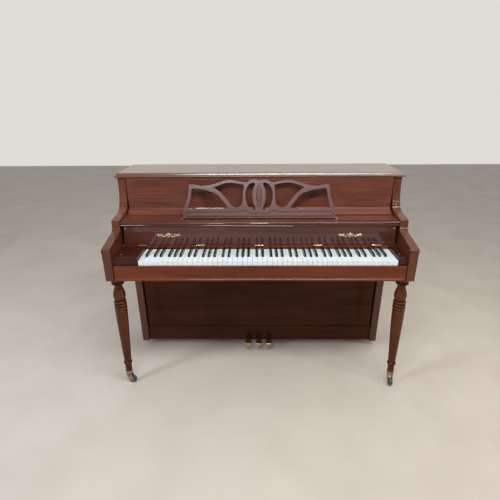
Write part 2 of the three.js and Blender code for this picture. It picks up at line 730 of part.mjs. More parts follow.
for (const [side, word] of [[-1, 'left'], [1, 'right']]) {
  const { x, depth, radius, width } = REAR_CASTER;
  const middle = side * x;
  const cheekX = width / 2 + 1;
  const cheek = [[depth - 14, 60], [depth - 8, 18], [depth + 8, 18], [depth + 14, 60]];
  place(piano, `rear_caster_bracket_${word}`, joined(
    box(middle - 28, middle + 28, depth - 26, depth + 26, 58, FRAME.under - GAP),
    sweepX(cheek, middle - cheekX - 3, middle - cheekX),
    sweepX(cheek, middle + cheekX, middle + cheekX + 3),
  ), STEEL);
  const wheel = turned(wheelProfile(radius, width), 20).rotateY(Math.PI / 2);
  wheel.translate(middle, at(depth), radius);
  place(piano, `rear_caster_wheel_${word}`, wheel, RUBBER);
}

export default piano;
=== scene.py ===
# %% [markdown]
# # An upright console piano
#
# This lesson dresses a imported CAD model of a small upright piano. The CAD model already holds every size,
# joint and moving body. Blender adds what the eye wants: rounded edges, turned legs, eighty-eight separate
# keys, engraving, gilt scrolls, strings, and lacquered mahogany with a grain that runs the right way on every
# board.
#
# All lengths are in metres. X runs to the player's right, Y runs away from the player, and Z runs up.

# %% Load the frame
import math

import bpy
from mathutils import Matrix, Vector


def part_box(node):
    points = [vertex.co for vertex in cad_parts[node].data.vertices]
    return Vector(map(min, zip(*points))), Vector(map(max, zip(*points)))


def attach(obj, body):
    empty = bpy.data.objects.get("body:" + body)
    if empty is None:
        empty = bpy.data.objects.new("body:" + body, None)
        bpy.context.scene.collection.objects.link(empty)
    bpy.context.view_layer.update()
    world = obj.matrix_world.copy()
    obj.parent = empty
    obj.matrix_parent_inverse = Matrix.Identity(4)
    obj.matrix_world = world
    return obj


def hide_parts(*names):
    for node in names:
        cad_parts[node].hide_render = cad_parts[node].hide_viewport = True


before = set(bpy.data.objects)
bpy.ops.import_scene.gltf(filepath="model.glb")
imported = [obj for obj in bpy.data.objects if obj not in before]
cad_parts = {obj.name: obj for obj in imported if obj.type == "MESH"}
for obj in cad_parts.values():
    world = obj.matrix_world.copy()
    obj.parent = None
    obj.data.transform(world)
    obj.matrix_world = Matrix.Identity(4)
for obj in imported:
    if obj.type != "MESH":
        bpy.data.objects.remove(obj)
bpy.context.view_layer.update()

# %% [markdown]
# ## Measures
#
# A piano maker measures from the front ends of the white keys, so this lesson does too: `at(depth)` turns a
# depth in millimetres behind the key fronts into Y.

# %% Measures
MM = 0.001
KEY_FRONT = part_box("white_keys_bass")[0].y
WHITE_KEYS = 52
WHITE_PITCH = 23.5 * MM
KEYBOARD_MIDDLE = 38.5 * MM
KEYS_LEFT = KEYBOARD_MIDDLE - WHITE_KEYS / 2 * WHITE_PITCH
KEY_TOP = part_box("white_keys_bass")[1].z
BLACK_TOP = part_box("black_keys_bass")[1].z


def at(depth):
    """Y of a depth in millimetres behind the fronts of the white keys."""
    return KEY_FRONT + depth * MM


print("key fronts at Y", round(KEY_FRONT, 4), "key tops at Z", round(KEY_TOP, 4))

# %% [markdown]
# ## Camera
#
# The camera stands at the height of a person's eyes, a good step back, and looks down on the keyboard through
# a wide lens. It is placed by its own three axes, so that its small roll is exact.

# %% Camera
EYE = Vector((-0.0087, at(-1582.1), 1.4621))
PITCH_DOWN = math.radians(22.3)
YAW = math.radians(-0.9)
ROLL = math.radians(-0.4)
LENS_MM = 26.59


def camera_axes(pitch, yaw, roll):
    """Right, up and backward axes of a camera that looks along +Y, turned, tipped and rolled."""
    forward = Vector((math.sin(yaw) * math.cos(pitch), math.cos(yaw) * math.cos(pitch), -math.sin(pitch)))
    level_right = Vector((math.cos(yaw), -math.sin(yaw), 0.0))
    level_up = level_right.cross(forward)
    right = level_right * math.cos(roll) + level_up * math.sin(roll)
    up = level_up * math.cos(roll) - level_right * math.sin(roll)
    return right, up, -forward


bpy.ops.object.camera_add()
camera = bpy.context.object
camera.name = "camera"
axes = [list(axis) + [0.0] for axis in camera_axes(PITCH_DOWN, YAW, ROLL)]
camera.matrix_world = Matrix(axes + [[0, 0, 0, 1]]).transposed()
camera.location = EYE
camera.data.lens = LENS_MM
camera.data.sensor_width = 36.0
camera.data.shift_x = -0.004
bpy.context.scene.camera = camera
print("camera at", [round(value, 3) for value in EYE], "lens", LENS_MM)

# %% [markdown]
# ## Light and floor
#
# Lacquer is mostly reflection, so the lights are long soft strips, which a small bead catches as one clean
# line: a ceiling panel in front of the piano, a cool window on the left and a warm lamp on the right. The
# room is pale behind the piano and dimmer in front of it, which keeps the front boards deep in colour. The
# floor is plain and pale, and it is staging, not part of the piano.

# %% Light and floor
def soft_light(name, location, target, size, watts, colour):
    """An area light of the given width and height, aimed at a target."""
    bpy.ops.object.light_add(type="AREA", location=location)
    light = bpy.context.object
    light.name = name
    light.data.shape = "RECTANGLE"
    light.data.size, light.data.size_y = size
    light.data.energy = watts
    light.data.color = colour
    aim = Vector(target) - Vector(location)
    light.rotation_euler = aim.to_track_quat("-Z", "Y").to_euler()


soft_light("ceiling_panel", (0.4, -1.5, 3.0), (0.0, 0.0, 0.7), (2.6, 0.35), 92.0, (1.0, 0.98, 0.95))
soft_light("left_window", (-3.0, -1.9, 1.9), (0.0, 0.0, 0.8), (0.6, 1.8), 62.0, (0.80, 0.88, 1.0))
soft_light("right_fill", (3.2, -1.6, 1.5), (0.0, 0.0, 0.7), (0.5, 1.5), 34.0, (1.0, 0.84, 0.66))

world = bpy.data.worlds.new("pale_room")
bpy.context.scene.world = world
world.use_nodes = True
sky = world.node_tree
direction = sky.nodes.new("ShaderNodeTexCoord")
split = sky.nodes.new("ShaderNodeSeparateXYZ")
share = sky.nodes.new("ShaderNodeMapRange")
share.inputs["From Min"].default_value = -0.5
share.inputs["From Max"].default_value = 0.4
room = sky.nodes.new("ShaderNodeMix")
room.data_type = "RGBA"
room.inputs[6].default_value = (0.135, 0.145, 0.17, 1.0)
room.inputs[7].default_value = (0.74, 0.72, 0.68, 1.0)
sky.links.new(direction.outputs["Generated"], split.inputs[0])
sky.links.new(split.outputs["Y"], share.inputs["Value"])
sky.links.new(share.outputs["Result"], room.inputs[0])
sky.links.new(room.outputs[2], sky.nodes["Background"].inputs["Color"])
bpy.context.scene.view_settings.view_transform = "Standard"

bpy.ops.mesh.primitive_plane_add(size=14.0, location=(0.0, 0.0, 0.0))
floor = bpy.context.object
floor.name = "floor"

# %% [markdown]
# ## Small tools
#
# A few helpers keep the cells short. An operator acts on everything that is selected, so each helper first
# deselects everything and then selects only its own object. A finished piece keeps its object at the origin
# and its place in its mesh.

# %% Small tools
def pick(obj):
    """Makes obj the only selected object and the active one."""
    bpy.ops.object.select_all(action="DESELECT")
    obj.select_set(True)
    bpy.context.view_layer.objects.active = obj


def edit(obj, select="SELECT"):
    """Opens edit mode on obj with every corner selected, or none."""
    pick(obj)
    bpy.ops.object.mode_set(mode="EDIT")
    bpy.ops.mesh.select_mode(type="VERT")
    bpy.ops.mesh.select_all(action=select)


def leave_edit():
    """Back to object mode."""
    bpy.ops.object.mode_set(mode="OBJECT")


def settle(obj):
    """Moves the object's place, turn and size into its mesh."""
    pick(obj)
    bpy.ops.object.transform_apply(location=True, rotation=True, scale=True)
    return obj


def block(name, low, high):
    """A primitive cube between two corners."""
    low, high = Vector(low), Vector(high)
    bpy.ops.mesh.primitive_cube_add(size=1.0, location=(low + high) / 2, scale=high - low)
    obj = bpy.context.object
    obj.name = name
    return settle(obj)


print("selected to begin with:", [obj.name for obj in bpy.context.selected_objects])

# %% [markdown]
# A modifier is always applied at once, so the mesh on the bench is the mesh that is kept. Two matter most:
# a narrow bevel, which is the sandpaper, and weighted normals, which keep broad flats looking flat beside it.

# %% Modifiers and shading
def run_modifier(obj, kind, **settings):
    """Adds one modifier, sets it and applies it."""
    pick(obj)
    modifier = obj.modifiers.new(kind.lower(), kind)
    for key, value in settings.items():
        setattr(modifier, key, value)
    bpy.ops.object.modifier_apply(modifier=modifier.name)


def soften(obj, width_mm, segments=2, angle=30.0):
    """Rounds every edge sharper than angle, then shades smooth between the flats."""
    run_modifier(obj, "BEVEL", width=width_mm * MM, segments=segments, limit_method="ANGLE",
                 angle_limit=math.radians(angle), harden_normals=False, use_clamp_overlap=True)
    shade(obj)
    return obj


def shade(obj, angle=38.0, flats=True):
    """Smooth shading up to an angle; large flats keep their own direction."""
    pick(obj)
    bpy.ops.object.shade_smooth_by_angle(angle=math.radians(angle))
    if flats:
        run_modifier(obj, "WEIGHTED_NORMAL", weight=60, keep_sharp=True)
    return obj


# %% [markdown]
# A piece either starts as a copy of its CAD node or is made new. The CAD mesh itself is never touched. `seat`
# is the last step for every piece: it sets the finish and ties the piece to the body that it moves with.

# %% Copies and seats
def from_cad(node, name):
    """A copy of a CAD node with its loose triangles merged back into clean flats."""
    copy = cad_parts[node].copy()
    copy.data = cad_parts[node].data.copy()
    copy.name = name
    copy.parent = None
    for key in list(copy.keys()):
        del copy[key]
    copy.data.materials.clear()
    bpy.context.scene.collection.objects.link(copy)
    edit(copy)
    bpy.ops.mesh.remove_doubles(threshold=0.00002)
    bpy.ops.mesh.dissolve_limited(angle_limit=math.radians(0.6))
    leave_edit()
    return copy


def merge(objects, name):
    """Joins several meshes into one object."""
    bpy.ops.object.select_all(action="DESELECT")
    for obj in objects:
        obj.select_set(True)
    bpy.context.view_layer.objects.active = objects[0]
    bpy.ops.object.join()
    whole = bpy.context.object
    whole.name = name
    return whole


def twin(obj, name, shift):
    """A copy of obj with its own mesh, moved by shift."""
    copy = obj.copy()
    copy.data = obj.data.copy()
    copy.name = name
    bpy.context.scene.collection.objects.link(copy)
    copy.data.transform(Matrix.Translation(shift))
    return copy


def seat(obj, body, slot, material, *nodes):
    """Gives a finished piece its finish and its body, and hides the CAD nodes that it stands for."""
    settle(obj)
    obj.data.materials.clear()
    obj.data.materials.append(material)
    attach(obj, body)
    if nodes:
        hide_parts(*nodes)
    return obj


print("nodes to dress:", len(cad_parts))

# %% [markdown]
# ### Wires and turnings
#
# Two shapes come back again and again on a piano: a wire that follows a path, and a turning. A wire starts as
# a plane merged to one point, which is extruded from point to point; the line of edges is converted to a
# curve, given a thickness, and converted back to a mesh. A turning is the same line of edges, spun about its
# axis.

# %% Wires and turnings
def edge_path(name, points, closed=False):
    """A chain of edges through points, made by extruding one vertex."""
    points = [Vector(point) for point in points]
    bpy.ops.mesh.primitive_plane_add(size=0.001, location=points[0])
    path = bpy.context.object
    path.name = name
    settle(path)
    edit(path)
    bpy.ops.mesh.merge(type="CENTER")
    for start, end in zip(points, points[1:]):
        bpy.ops.mesh.extrude_region_move(TRANSFORM_OT_translate={"value": end - start})
    leave_edit()
    if closed:
        last = len(path.data.vertices) - 1
        edit(path, "DESELECT")
        leave_edit()
        path.data.vertices[0].select = True
        path.data.vertices[last].select = True
        bpy.ops.object.mode_set(mode="EDIT")
        bpy.ops.mesh.edge_face_add()
        leave_edit()
    return path


def wire(name, points, radius_mm, closed=False, roundness=2):
    """A round wire along points."""
    path = edge_path(name, points, closed)
    pick(path)
    bpy.ops.object.convert(target="CURVE")
    path = bpy.context.object
    path.data.bevel_depth = radius_mm * MM
    path.data.bevel_resolution = roundness
    path.data.use_fill_caps = not closed
    bpy.ops.object.convert(target="MESH")
    tube = bpy.context.object
    tube.name = name
    edit(tube)
    bpy.ops.mesh.remove_doubles(threshold=0.00001)
    bpy.ops.mesh.normals_make_consistent(inside=False)
    leave_edit()
    return shade(tube)


def eased(points, rounds=2):
    """Cuts the corners of an open outline, which turns its bends into curves."""
    points = [Vector(point) for point in points]
    for _ in range(rounds):
        cut = [points[0]]
        for a, b in zip(points, points[1:]):
            cut += [a.lerp(b, 0.25), a.lerp(b, 0.75)]
        points = cut + [points[-1]]
    return points


def turning(name, profile_mm, steps=48, rounds=2):
    """Spins a (radius, height) profile in millimetres about the Z axis."""
    outline = eased([(radius * MM, 0.0, height * MM) for radius, height in profile_mm], rounds)
    path = edge_path(name, outline)
    edit(path)
    bpy.ops.mesh.spin(steps=steps, angle=math.tau, center=(0, 0, 0), axis=(0, 0, 1))
    bpy.ops.mesh.select_all(action="SELECT")
    bpy.ops.mesh.remove_doubles(threshold=0.00002)
    bpy.ops.mesh.normals_make_consistent(inside=False)
    leave_edit()
    return shade(path, 50.0, flats=False)


print("points on one eased bend:", len(eased([(0, 0, 0), (1, 0, 0), (1, 1, 0)])))

# %% [markdown]
# ## Finishes
#
# Every finish is procedural and reads the piece's own coordinates. Effects that several finishes share are
# node groups with named sockets. The first is the grain of a sliced veneer: long soft bands, fine streaks
# inside them, and short dark pores, all drawn by noise that is stretched along the grain.

# %% Node group helpers
def new_group(name, inputs, outputs):
    """A shader node group with its sockets, and its input and output nodes."""
    tree = bpy.data.node_groups.new(name, "ShaderNodeTree")
    for label, kind in inputs:
        tree.interface.new_socket(name=label, in_out="INPUT", socket_type=kind)
    for label, kind in outputs:
        tree.interface.new_socket(name=label, in_out="OUTPUT", socket_type=kind)
    return tree, tree.nodes.new("NodeGroupInput"), tree.nodes.new("NodeGroupOutput")


def node(tree, kind, links=None, **settings):
    """A node with its properties and default inputs set, and its inputs linked."""
    made = tree.nodes.new(kind)
    for key, value in settings.items():
        if key in made.inputs and not hasattr(type(made), key):
            made.inputs[key].default_value = value
        else:
            setattr(made, key, value)
    for key, source in (links or {}).items():
        tree.links.new(source, made.inputs[key])
    return made


def stretched_noise(tree, vector, scale, detail, roughness=0.55, stretch=(1, 1, 1), distortion=0.0):
    """Noise on a vector that is first scaled by stretch."""
    mapping = node(tree, "ShaderNodeMapping", {"Vector": vector})
    mapping.inputs["Scale"].default_value = stretch
    noise = node(tree, "ShaderNodeTexNoise", {"Vector": mapping.outputs["Vector"]})
    noise.inputs["Scale"].default_value = scale
    noise.inputs["Detail"].default_value = detail
    noise.inputs["Roughness"].default_value = roughness
    noise.inputs["Distortion"].default_value = distortion
    return noise.outputs["Fac"]


def remap(tree, value, low, high, to_low=0.0, to_high=1.0):
    """A clamped change of range."""
    made = node(tree, "ShaderNodeMapRange", {"Value": value})
    made.inputs["From Min"].default_value = low
    made.inputs["From Max"].default_value = high
    made.inputs["To Min"].default_value = to_low
    made.inputs["To Max"].default_value = to_high
    return made.outputs["Result"]


def blend_colour(tree, factor, a, b, mode="MIX"):
    """Mixes two colour sockets."""
    made = node(tree, "ShaderNodeMix", data_type="RGBA", blend_type=mode)
    tree.links.new(factor, made.inputs[0])
    tree.links.new(a, made.inputs[6])
    tree.links.new(b, made.inputs[7])
    return made.outputs[2]


def maths(tree, operation, a, b):
    """A maths node; either operand may be a socket or a number."""
    made = node(tree, "ShaderNodeMath", operation=operation)
    for slot_index, operand in enumerate((a, b)):
        if isinstance(operand, (int, float)):
            made.inputs[slot_index].default_value = operand
        else:
            tree.links.new(operand, made.inputs[slot_index])
    return made.outputs[0]


print("materials before the first finish:", len(bpy.data.materials))

# %% [markdown]
# The veneer group lays four noises over each other: bands as wide as a finger, fine streaks, a broad cloud
# of lighter wood, and the pores. It draws along X. Besides the colour it puts out a gloss mask and a height,
# so the shine and the relief follow the same grain.

# %% The veneer grain group
def veneer_group():
    """Grain along the vector's X axis."""
    tree, given, result = new_group(
        "veneer_grain",
        [("Vector", "NodeSocketVector"), ("Deep", "NodeSocketColor"), ("Body", "NodeSocketColor"),
         ("Light", "NodeSocketColor"), ("Figure", "NodeSocketFloat"), ("Pores", "NodeSocketFloat")],
        [("Color", "NodeSocketColor"), ("Gloss", "NodeSocketFloat"), ("Height", "NodeSocketFloat")])
    vector = given.outputs["Vector"]
    bands = stretched_noise(tree, vector, 2.0, 4.0, 0.55, (0.55, 11.0, 11.0), 0.6)
    streaks = stretched_noise(tree, vector, 3.0, 6.0, 0.65, (1.6, 70.0, 70.0), 0.15)
    cloud = stretched_noise(tree, vector, 1.7, 2.0, 0.5, (0.8, 2.2, 2.2), 0.4)
    pores = stretched_noise(tree, vector, 6.0, 2.0, 0.5, (7.0, 260.0, 260.0))
    band_mask = remap(tree, bands, 0.36, 0.66)
    streak_mask = remap(tree, streaks, 0.34, 0.7)
    figure = maths(tree, "MULTIPLY", streak_mask, given.outputs["Figure"])
    cloud_mask = remap(tree, cloud, 0.38, 0.68)
    pore_mask = maths(tree, "MULTIPLY", remap(tree, pores, 0.62, 0.74), given.outputs["Pores"])
    colour = blend_colour(tree, band_mask, given.outputs["Deep"], given.outputs["Body"])
    colour = blend_colour(tree, figure, colour, given.outputs["Light"])
    lift = maths(tree, "MULTIPLY", cloud_mask, 0.45)
    colour = blend_colour(tree, lift, colour, given.outputs["Light"])
    colour = blend_colour(tree, pore_mask, colour, given.outputs["Deep"])
    tree.links.new(colour, result.inputs["Color"])
    half_streaks = maths(tree, "MULTIPLY", streak_mask, 0.5)
    half_cloud = maths(tree, "MULTIPLY", cloud_mask, 0.5)
    tree.links.new(maths(tree, "ADD", half_streaks, half_cloud), result.inputs["Gloss"])
    relief = maths(tree, "MULTIPLY", streaks, 0.6)
    tree.links.new(maths(tree, "SUBTRACT", relief, pore_mask), result.inputs["Height"])
    return tree


VENEER = veneer_group()
print("veneer sockets:", len(VENEER.interface.items_tree))

# %% [markdown]
# The second group is handling: the faint smears and soft dulling that hands and cloths leave on any gloss. It
# puts out a roughness. The third is tarnish, which breaks up a metal's colour and its shine.

# %% Handling and tarnish groups
def handling_group():
    """Smears and spots that lift a roughness unevenly."""
    tree, given, result = new_group(
        "handling",
        [("Vector", "NodeSocketVector"), ("Roughness", "NodeSocketFloat"), ("Spread", "NodeSocketFloat"),
         ("Gloss", "NodeSocketFloat")],
        [("Roughness", "NodeSocketFloat")])
    smear = stretched_noise(tree, given.outputs["Vector"], 5.0, 3.0, 0.6, (1.0, 1.0, 2.4), 1.2)
    spots = stretched_noise(tree, given.outputs["Vector"], 38.0, 2.0, 0.6)
    both = maths(tree, "ADD", maths(tree, "MULTIPLY", smear, 0.8), maths(tree, "MULTIPLY", spots, 0.3))
    grain_share = maths(tree, "MULTIPLY", given.outputs["Gloss"], 0.3)
    mask = maths(tree, "SUBTRACT", maths(tree, "ADD", both, grain_share), 0.65)
    change = maths(tree, "MULTIPLY", mask, given.outputs["Spread"])
    tree.links.new(maths(tree, "ADD", given.outputs["Roughness"], change), result.inputs["Roughness"])
    return tree


def tarnish_group():
    """Dull patches on a clean colour, with their mask and a height."""
    tree, given, result = new_group(
        "tarnish",
        [("Vector", "NodeSocketVector"), ("Clean", "NodeSocketColor"), ("Dull", "NodeSocketColor"),
         ("Scale", "NodeSocketFloat")],
        [("Color", "NodeSocketColor"), ("Mask", "NodeSocketFloat"), ("Height", "NodeSocketFloat")])
    noise = node(tree, "ShaderNodeTexNoise",
                 {"Vector": given.outputs["Vector"], "Scale": given.outputs["Scale"]})
    noise.inputs["Detail"].default_value = 5.0
    mask = remap(tree, noise.outputs["Fac"], 0.4, 0.68)
    colour = blend_colour(tree, mask, given.outputs["Clean"], given.outputs["Dull"])
    tree.links.new(colour, result.inputs["Color"])
    tree.links.new(mask, result.inputs["Mask"])
    tree.links.new(noise.outputs["Fac"], result.inputs["Height"])
    return tree


HANDLING = handling_group()
TARNISH = tarnish_group()
print("shared groups:", [group.name for group in bpy.data.node_groups])

# %% [markdown]
# Every material begins the same way, with the piece's own coordinates and a shader, and then takes one or two
# of the shared groups.

# %% Starting a finish
def rgba(red, green, blue):
    """An opaque colour."""
    return (red, green, blue, 1.0)


def start_material(name):
    """A new material with its node tree, its shader and the piece's own coordinates."""
    material = bpy.data.materials.new(name)
    material.use_nodes = True
    tree = material.node_tree
    shader = tree.nodes["Principled BSDF"]
    place = tree.nodes.new("ShaderNodeTexCoord").outputs["Object"]
    return material, tree, shader, place


def group_node(tree, group, **values):
    """One use of a shared group, with its sockets set."""
    made = tree.nodes.new("ShaderNodeGroup")
    made.node_tree = group
    for key, value in values.items():
        made.inputs[key].default_value = value
    return made


def bump(tree, shader, height, depth_mm, strength):
    """Fine relief on a finish."""
    made = node(tree, "ShaderNodeBump", {"Height": height})
    made.inputs["Strength"].default_value = strength
    made.inputs["Distance"].default_value = depth_mm * MM
    tree.links.new(made.outputs["Normal"], shader.inputs["Normal"])


print("groups ready:", len(bpy.data.node_groups))

# %% [markdown]
# A lacquered board is a brown, grainy base under a thin clear coat. The grain group draws along X, so a board
# whose grain stands upright first turns its coordinates a quarter turn. Each family of boards gets its own
# tones, and some of these tones are painted light: the lower door and toe board are much darker for painted
# shade, the keyslip and fallboard rail are warmer for painted warm light, and the panel leans to mauve for a
# painted sheen.

# %% Wood finishes
GRAIN_TURN = {"X": (0.0, 0.0, 0.0), "Y": (0.0, 0.0, math.pi / 2), "Z": (0.0, math.pi / 2, 0.0)}


def wood(name, deep, body, light, grain="X", roughness=0.38, coat=0.5, figure=0.35, pores=0.5, spread=0.2,
         shine=0.2, coat_roughness=0.09):
    """Wood whose grain runs along one axis, under a clear coat of the given weight."""
    material, tree, shader, place = start_material(name)
    mapping = node(tree, "ShaderNodeMapping", {"Vector": place})
    mapping.inputs["Rotation"].default_value = GRAIN_TURN[grain]
    veneer = group_node(tree, VENEER, Deep=rgba(*deep), Body=rgba(*body), Light=rgba(*light), Figure=figure,
                        Pores=pores)
    tree.links.new(mapping.outputs["Vector"], veneer.inputs["Vector"])
    touched = group_node(tree, HANDLING, Roughness=roughness, Spread=spread)
    tree.links.new(place, touched.inputs["Vector"])
    tree.links.new(veneer.outputs["Gloss"], touched.inputs["Gloss"])
    tree.links.new(veneer.outputs["Color"], shader.inputs["Base Color"])
    tree.links.new(touched.outputs["Roughness"], shader.inputs["Roughness"])
    shader.inputs["Specular IOR Level"].default_value = shine
    shader.inputs["Coat Weight"].default_value = coat
    shader.inputs["Coat Roughness"].default_value = coat_roughness
    bump(tree, shader, veneer.outputs["Height"], 0.25, 0.18)
    return material


CASE_WOOD = wood("mahogany_case", (0.038, 0.008, 0.004), (0.095, 0.023, 0.010), (0.18, 0.054, 0.025))
LID_WOOD = wood("mahogany_lid", (0.05, 0.017, 0.012), (0.10, 0.036, 0.025), (0.16, 0.065, 0.045),
                coat=1.0, coat_roughness=0.2, shine=0.4)
UPRIGHT_WOOD = wood("mahogany_upright", (0.034, 0.007, 0.004), (0.085, 0.021, 0.009), (0.16, 0.050, 0.023),
                    grain="Z", figure=0.5)
# Painted sheen: the panel's tones lean slightly towards mauve.
PANEL_WOOD = wood("mahogany_panel", (0.034, 0.008, 0.006), (0.095, 0.024, 0.015), (0.20, 0.062, 0.036),
                  figure=0.7)
# Painted warm light: a warmer, more orange copy of the case mahogany for the keyslip and the fallboard rail.
WARM_LIT_WOOD = wood("mahogany_warm_lit", (0.04, 0.007, 0.001), (0.105, 0.018, 0.003), (0.19, 0.043, 0.008),
                 figure=0.7, coat=0.3)
BLOCK_WOOD = wood("mahogany_block", (0.014, 0.003, 0.002), (0.030, 0.006, 0.003), (0.055, 0.012, 0.007),
                  coat=0.3)
# Painted shade: a much darker copy of the case mahogany for the lower door and toe board under the keybed,
# also used to darken the desk's engraved grooves.
SHADE_WOOD = wood("mahogany_painted_shade", (0.016, 0.003, 0.001), (0.040, 0.009, 0.003), (0.080, 0.021, 0.007),
                 roughness=0.42, coat=0.12, shine=0.08, figure=0.6)
DESK_WOOD = wood("mahogany_desk", (0.05, 0.021, 0.020), (0.085, 0.037, 0.035), (0.12, 0.056, 0.052),
                 coat=0.8, coat_roughness=0.14)
BARE_WOOD = wood("bare_beech", (0.30, 0.18, 0.09), (0.46, 0.31, 0.17), (0.58, 0.42, 0.26), grain="Z",
                 roughness=0.62, coat=0.0, figure=0.3)
BARE_FLAT = wood("bare_beech_flat", (0.30, 0.18, 0.09), (0.46, 0.31, 0.17), (0.58, 0.42, 0.26),
                 roughness=0.62, coat=0.0, figure=0.3)
SPRUCE = wood("spruce_board", (0.42, 0.26, 0.12), (0.60, 0.42, 0.22), (0.70, 0.54, 0.33), grain="Z",
              roughness=0.5, coat=0.15, figure=0.6, pores=0.15)
print("woods:", len(bpy.data.materials))

# %% [markdown]
# Metals take the tarnish group on colour and roughness. The keys are cast plastic: a cool white with the
# faintest mottling, and a black with a soft gloss. Rubber for the tyres and felt for the hammers complete the
# set.

# %% Metals, plastics and felts
def metal(name, clean, dull, roughness, scale=60.0, dulling=0.25, metallic=1.0):
    """A metal whose dull patches are rougher."""
    material, tree, shader, place = start_material(name)
    patch = group_node(tree, TARNISH, Clean=rgba(*clean), Dull=rgba(*dull), Scale=scale)
    tree.links.new(place, patch.inputs["Vector"])
    tree.links.new(patch.outputs["Color"], shader.inputs["Base Color"])
    uneven = remap(tree, patch.outputs["Mask"], 0.0, 1.0, roughness, roughness + dulling)
    tree.links.new(uneven, shader.inputs["Roughness"])
    shader.inputs["Metallic"].default_value = metallic
    bump(tree, shader, patch.outputs["Height"], 0.1, 0.12)
    return material


def moulded(name, clean, dull, roughness, coat=0.0, spread=0.15, scale=30.0):
    """A plastic, rubber or felt with faint mottling and handling marks."""
    material, tree, shader, place = start_material(name)
    patch = group_node(tree, TARNISH, Clean=rgba(*clean), Dull=rgba(*dull), Scale=scale)
    tree.links.new(place, patch.inputs["Vector"])
    tree.links.new(patch.outputs["Color"], shader.inputs["Base Color"])
    touched = group_node(tree, HANDLING, Roughness=roughness, Spread=spread)
    tree.links.new(place, touched.inputs["Vector"])
    tree.links.new(patch.outputs["Mask"], touched.inputs["Gloss"])
    tree.links.new(touched.outputs["Roughness"], shader.inputs["Roughness"])
    shader.inputs["Coat Weight"].default_value = coat
    shader.inputs["Coat Roughness"].default_value = 0.08
    bump(tree, shader, patch.outputs["Height"], 0.05, 0.08)
    return material


BRASS = metal("brass", (0.78, 0.56, 0.24), (0.42, 0.30, 0.15), 0.24)
OLD_BRASS = metal("old_brass", (0.42, 0.34, 0.19), (0.13, 0.12, 0.09), 0.32)
GILT = metal("gilt_leaf", (0.78, 0.66, 0.40), (0.52, 0.44, 0.28), 0.4, scale=160.0, metallic=0.7)
STEEL = metal("steel", (0.56, 0.57, 0.58), (0.33, 0.33, 0.33), 0.3)
COPPER = metal("wound_copper", (0.50, 0.22, 0.11), (0.24, 0.11, 0.06), 0.34)
PLATE_PAINT = metal("bronze_paint", (0.55, 0.38, 0.14), (0.40, 0.27, 0.10), 0.42, scale=24.0, metallic=0.6)
WHITE_PLASTIC = moulded("white_key_plastic", (0.66, 0.73, 0.76), (0.60, 0.67, 0.70), 0.22, coat=0.4)
BLACK_PLASTIC = moulded("black_key_plastic", (0.006, 0.006, 0.007), (0.012, 0.012, 0.013), 0.26, coat=0.5)
GREY_RUBBER = moulded("grey_rubber", (0.10, 0.11, 0.11), (0.06, 0.065, 0.065), 0.6)
DARK_RUBBER = moulded("caster_tread", (0.035, 0.045, 0.045), (0.09, 0.095, 0.09), 0.42)
FELT = moulded("hammer_felt", (0.66, 0.62, 0.52), (0.55, 0.51, 0.43), 0.95)
FLOOR_PAINT = moulded("floor_paint", (0.50, 0.46, 0.41), (0.46, 0.42, 0.37), 0.6, scale=3.0)
floor.data.materials.append(FLOOR_PAINT)
print("finishes:", len(bpy.data.materials))

# %% [markdown]
# ## Cabinet boards
#
# The cabinet's boards already have the right outlines in CAD, with the coves and beads of their moulded
# edges. A real board never has a knife edge, though: each is eased with sandpaper, and the lacquer catches a
# bright line there. So each board is a merged copy of its CAD node with a fine bevel on its edges.
#
# The grain runs along the boards: upright on the sides and the legs, level on everything else.

# %% Cabinet boards
BOARDS = {
    "left_side": (UPRIGHT_WOOD, 1.6),
    "right_side": (UPRIGHT_WOOD, 1.6),
    "lid": (LID_WOOD, 0.8),
    "upper_panel": (PANEL_WOOD, 0.7),
    "music_shelf": (CASE_WOOD, 1.0),
    "fallboard_rail": (WARM_LIT_WOOD, 1.2),
    "key_block_left": (BLOCK_WOOD, 1.6),
    "key_block_right": (BLOCK_WOOD, 1.6),
    "keyslip": (WARM_LIT_WOOD, 1.0),
    "lower_door": (SHADE_WOOD, 2.0),
    "toe_board": (SHADE_WOOD, 1.5),
}
for board, (finish, ease) in BOARDS.items():
    piece = soften(from_cad(board, board + "_board"), ease)
    seat(piece, "lid" if board == "lid" else "case", "mahogany", finish, board)
print("cabinet boards:", len(BOARDS))

# %% [markdown]
# The boards that hold the strings are structure, not furniture. The frame and the key bed are bare beech,
# the soundboard is thinly varnished spruce, and the iron plate is painted bronze. They are eased the same
# way, a little more on the heavy posts, because their corners take knocks.

# %% Inner boards
INNER_BOARDS = {
    "keybed": (BARE_FLAT, 1.0, "inner_wood"),
    "bottom_board": (BARE_FLAT, 1.0, "inner_wood"),
    "back_frame": (BARE_WOOD, 2.5, "inner_wood"),
    "pin_block": (BARE_FLAT, 1.0, "inner_wood"),
    "action_frame": (BARE_FLAT, 1.0, "inner_wood"),
    "soundboard": (SPRUCE, 1.5, "spruce"),
    "string_plate": (PLATE_PAINT, 2.0, "gilt_iron"),
}
for board, (finish, ease, slot_name) in INNER_BOARDS.items():
    piece = soften(from_cad(board, board + "_made"), ease)
    seat(piece, "case", slot_name, finish, board)
print("inner boards:", len(INNER_BOARDS))
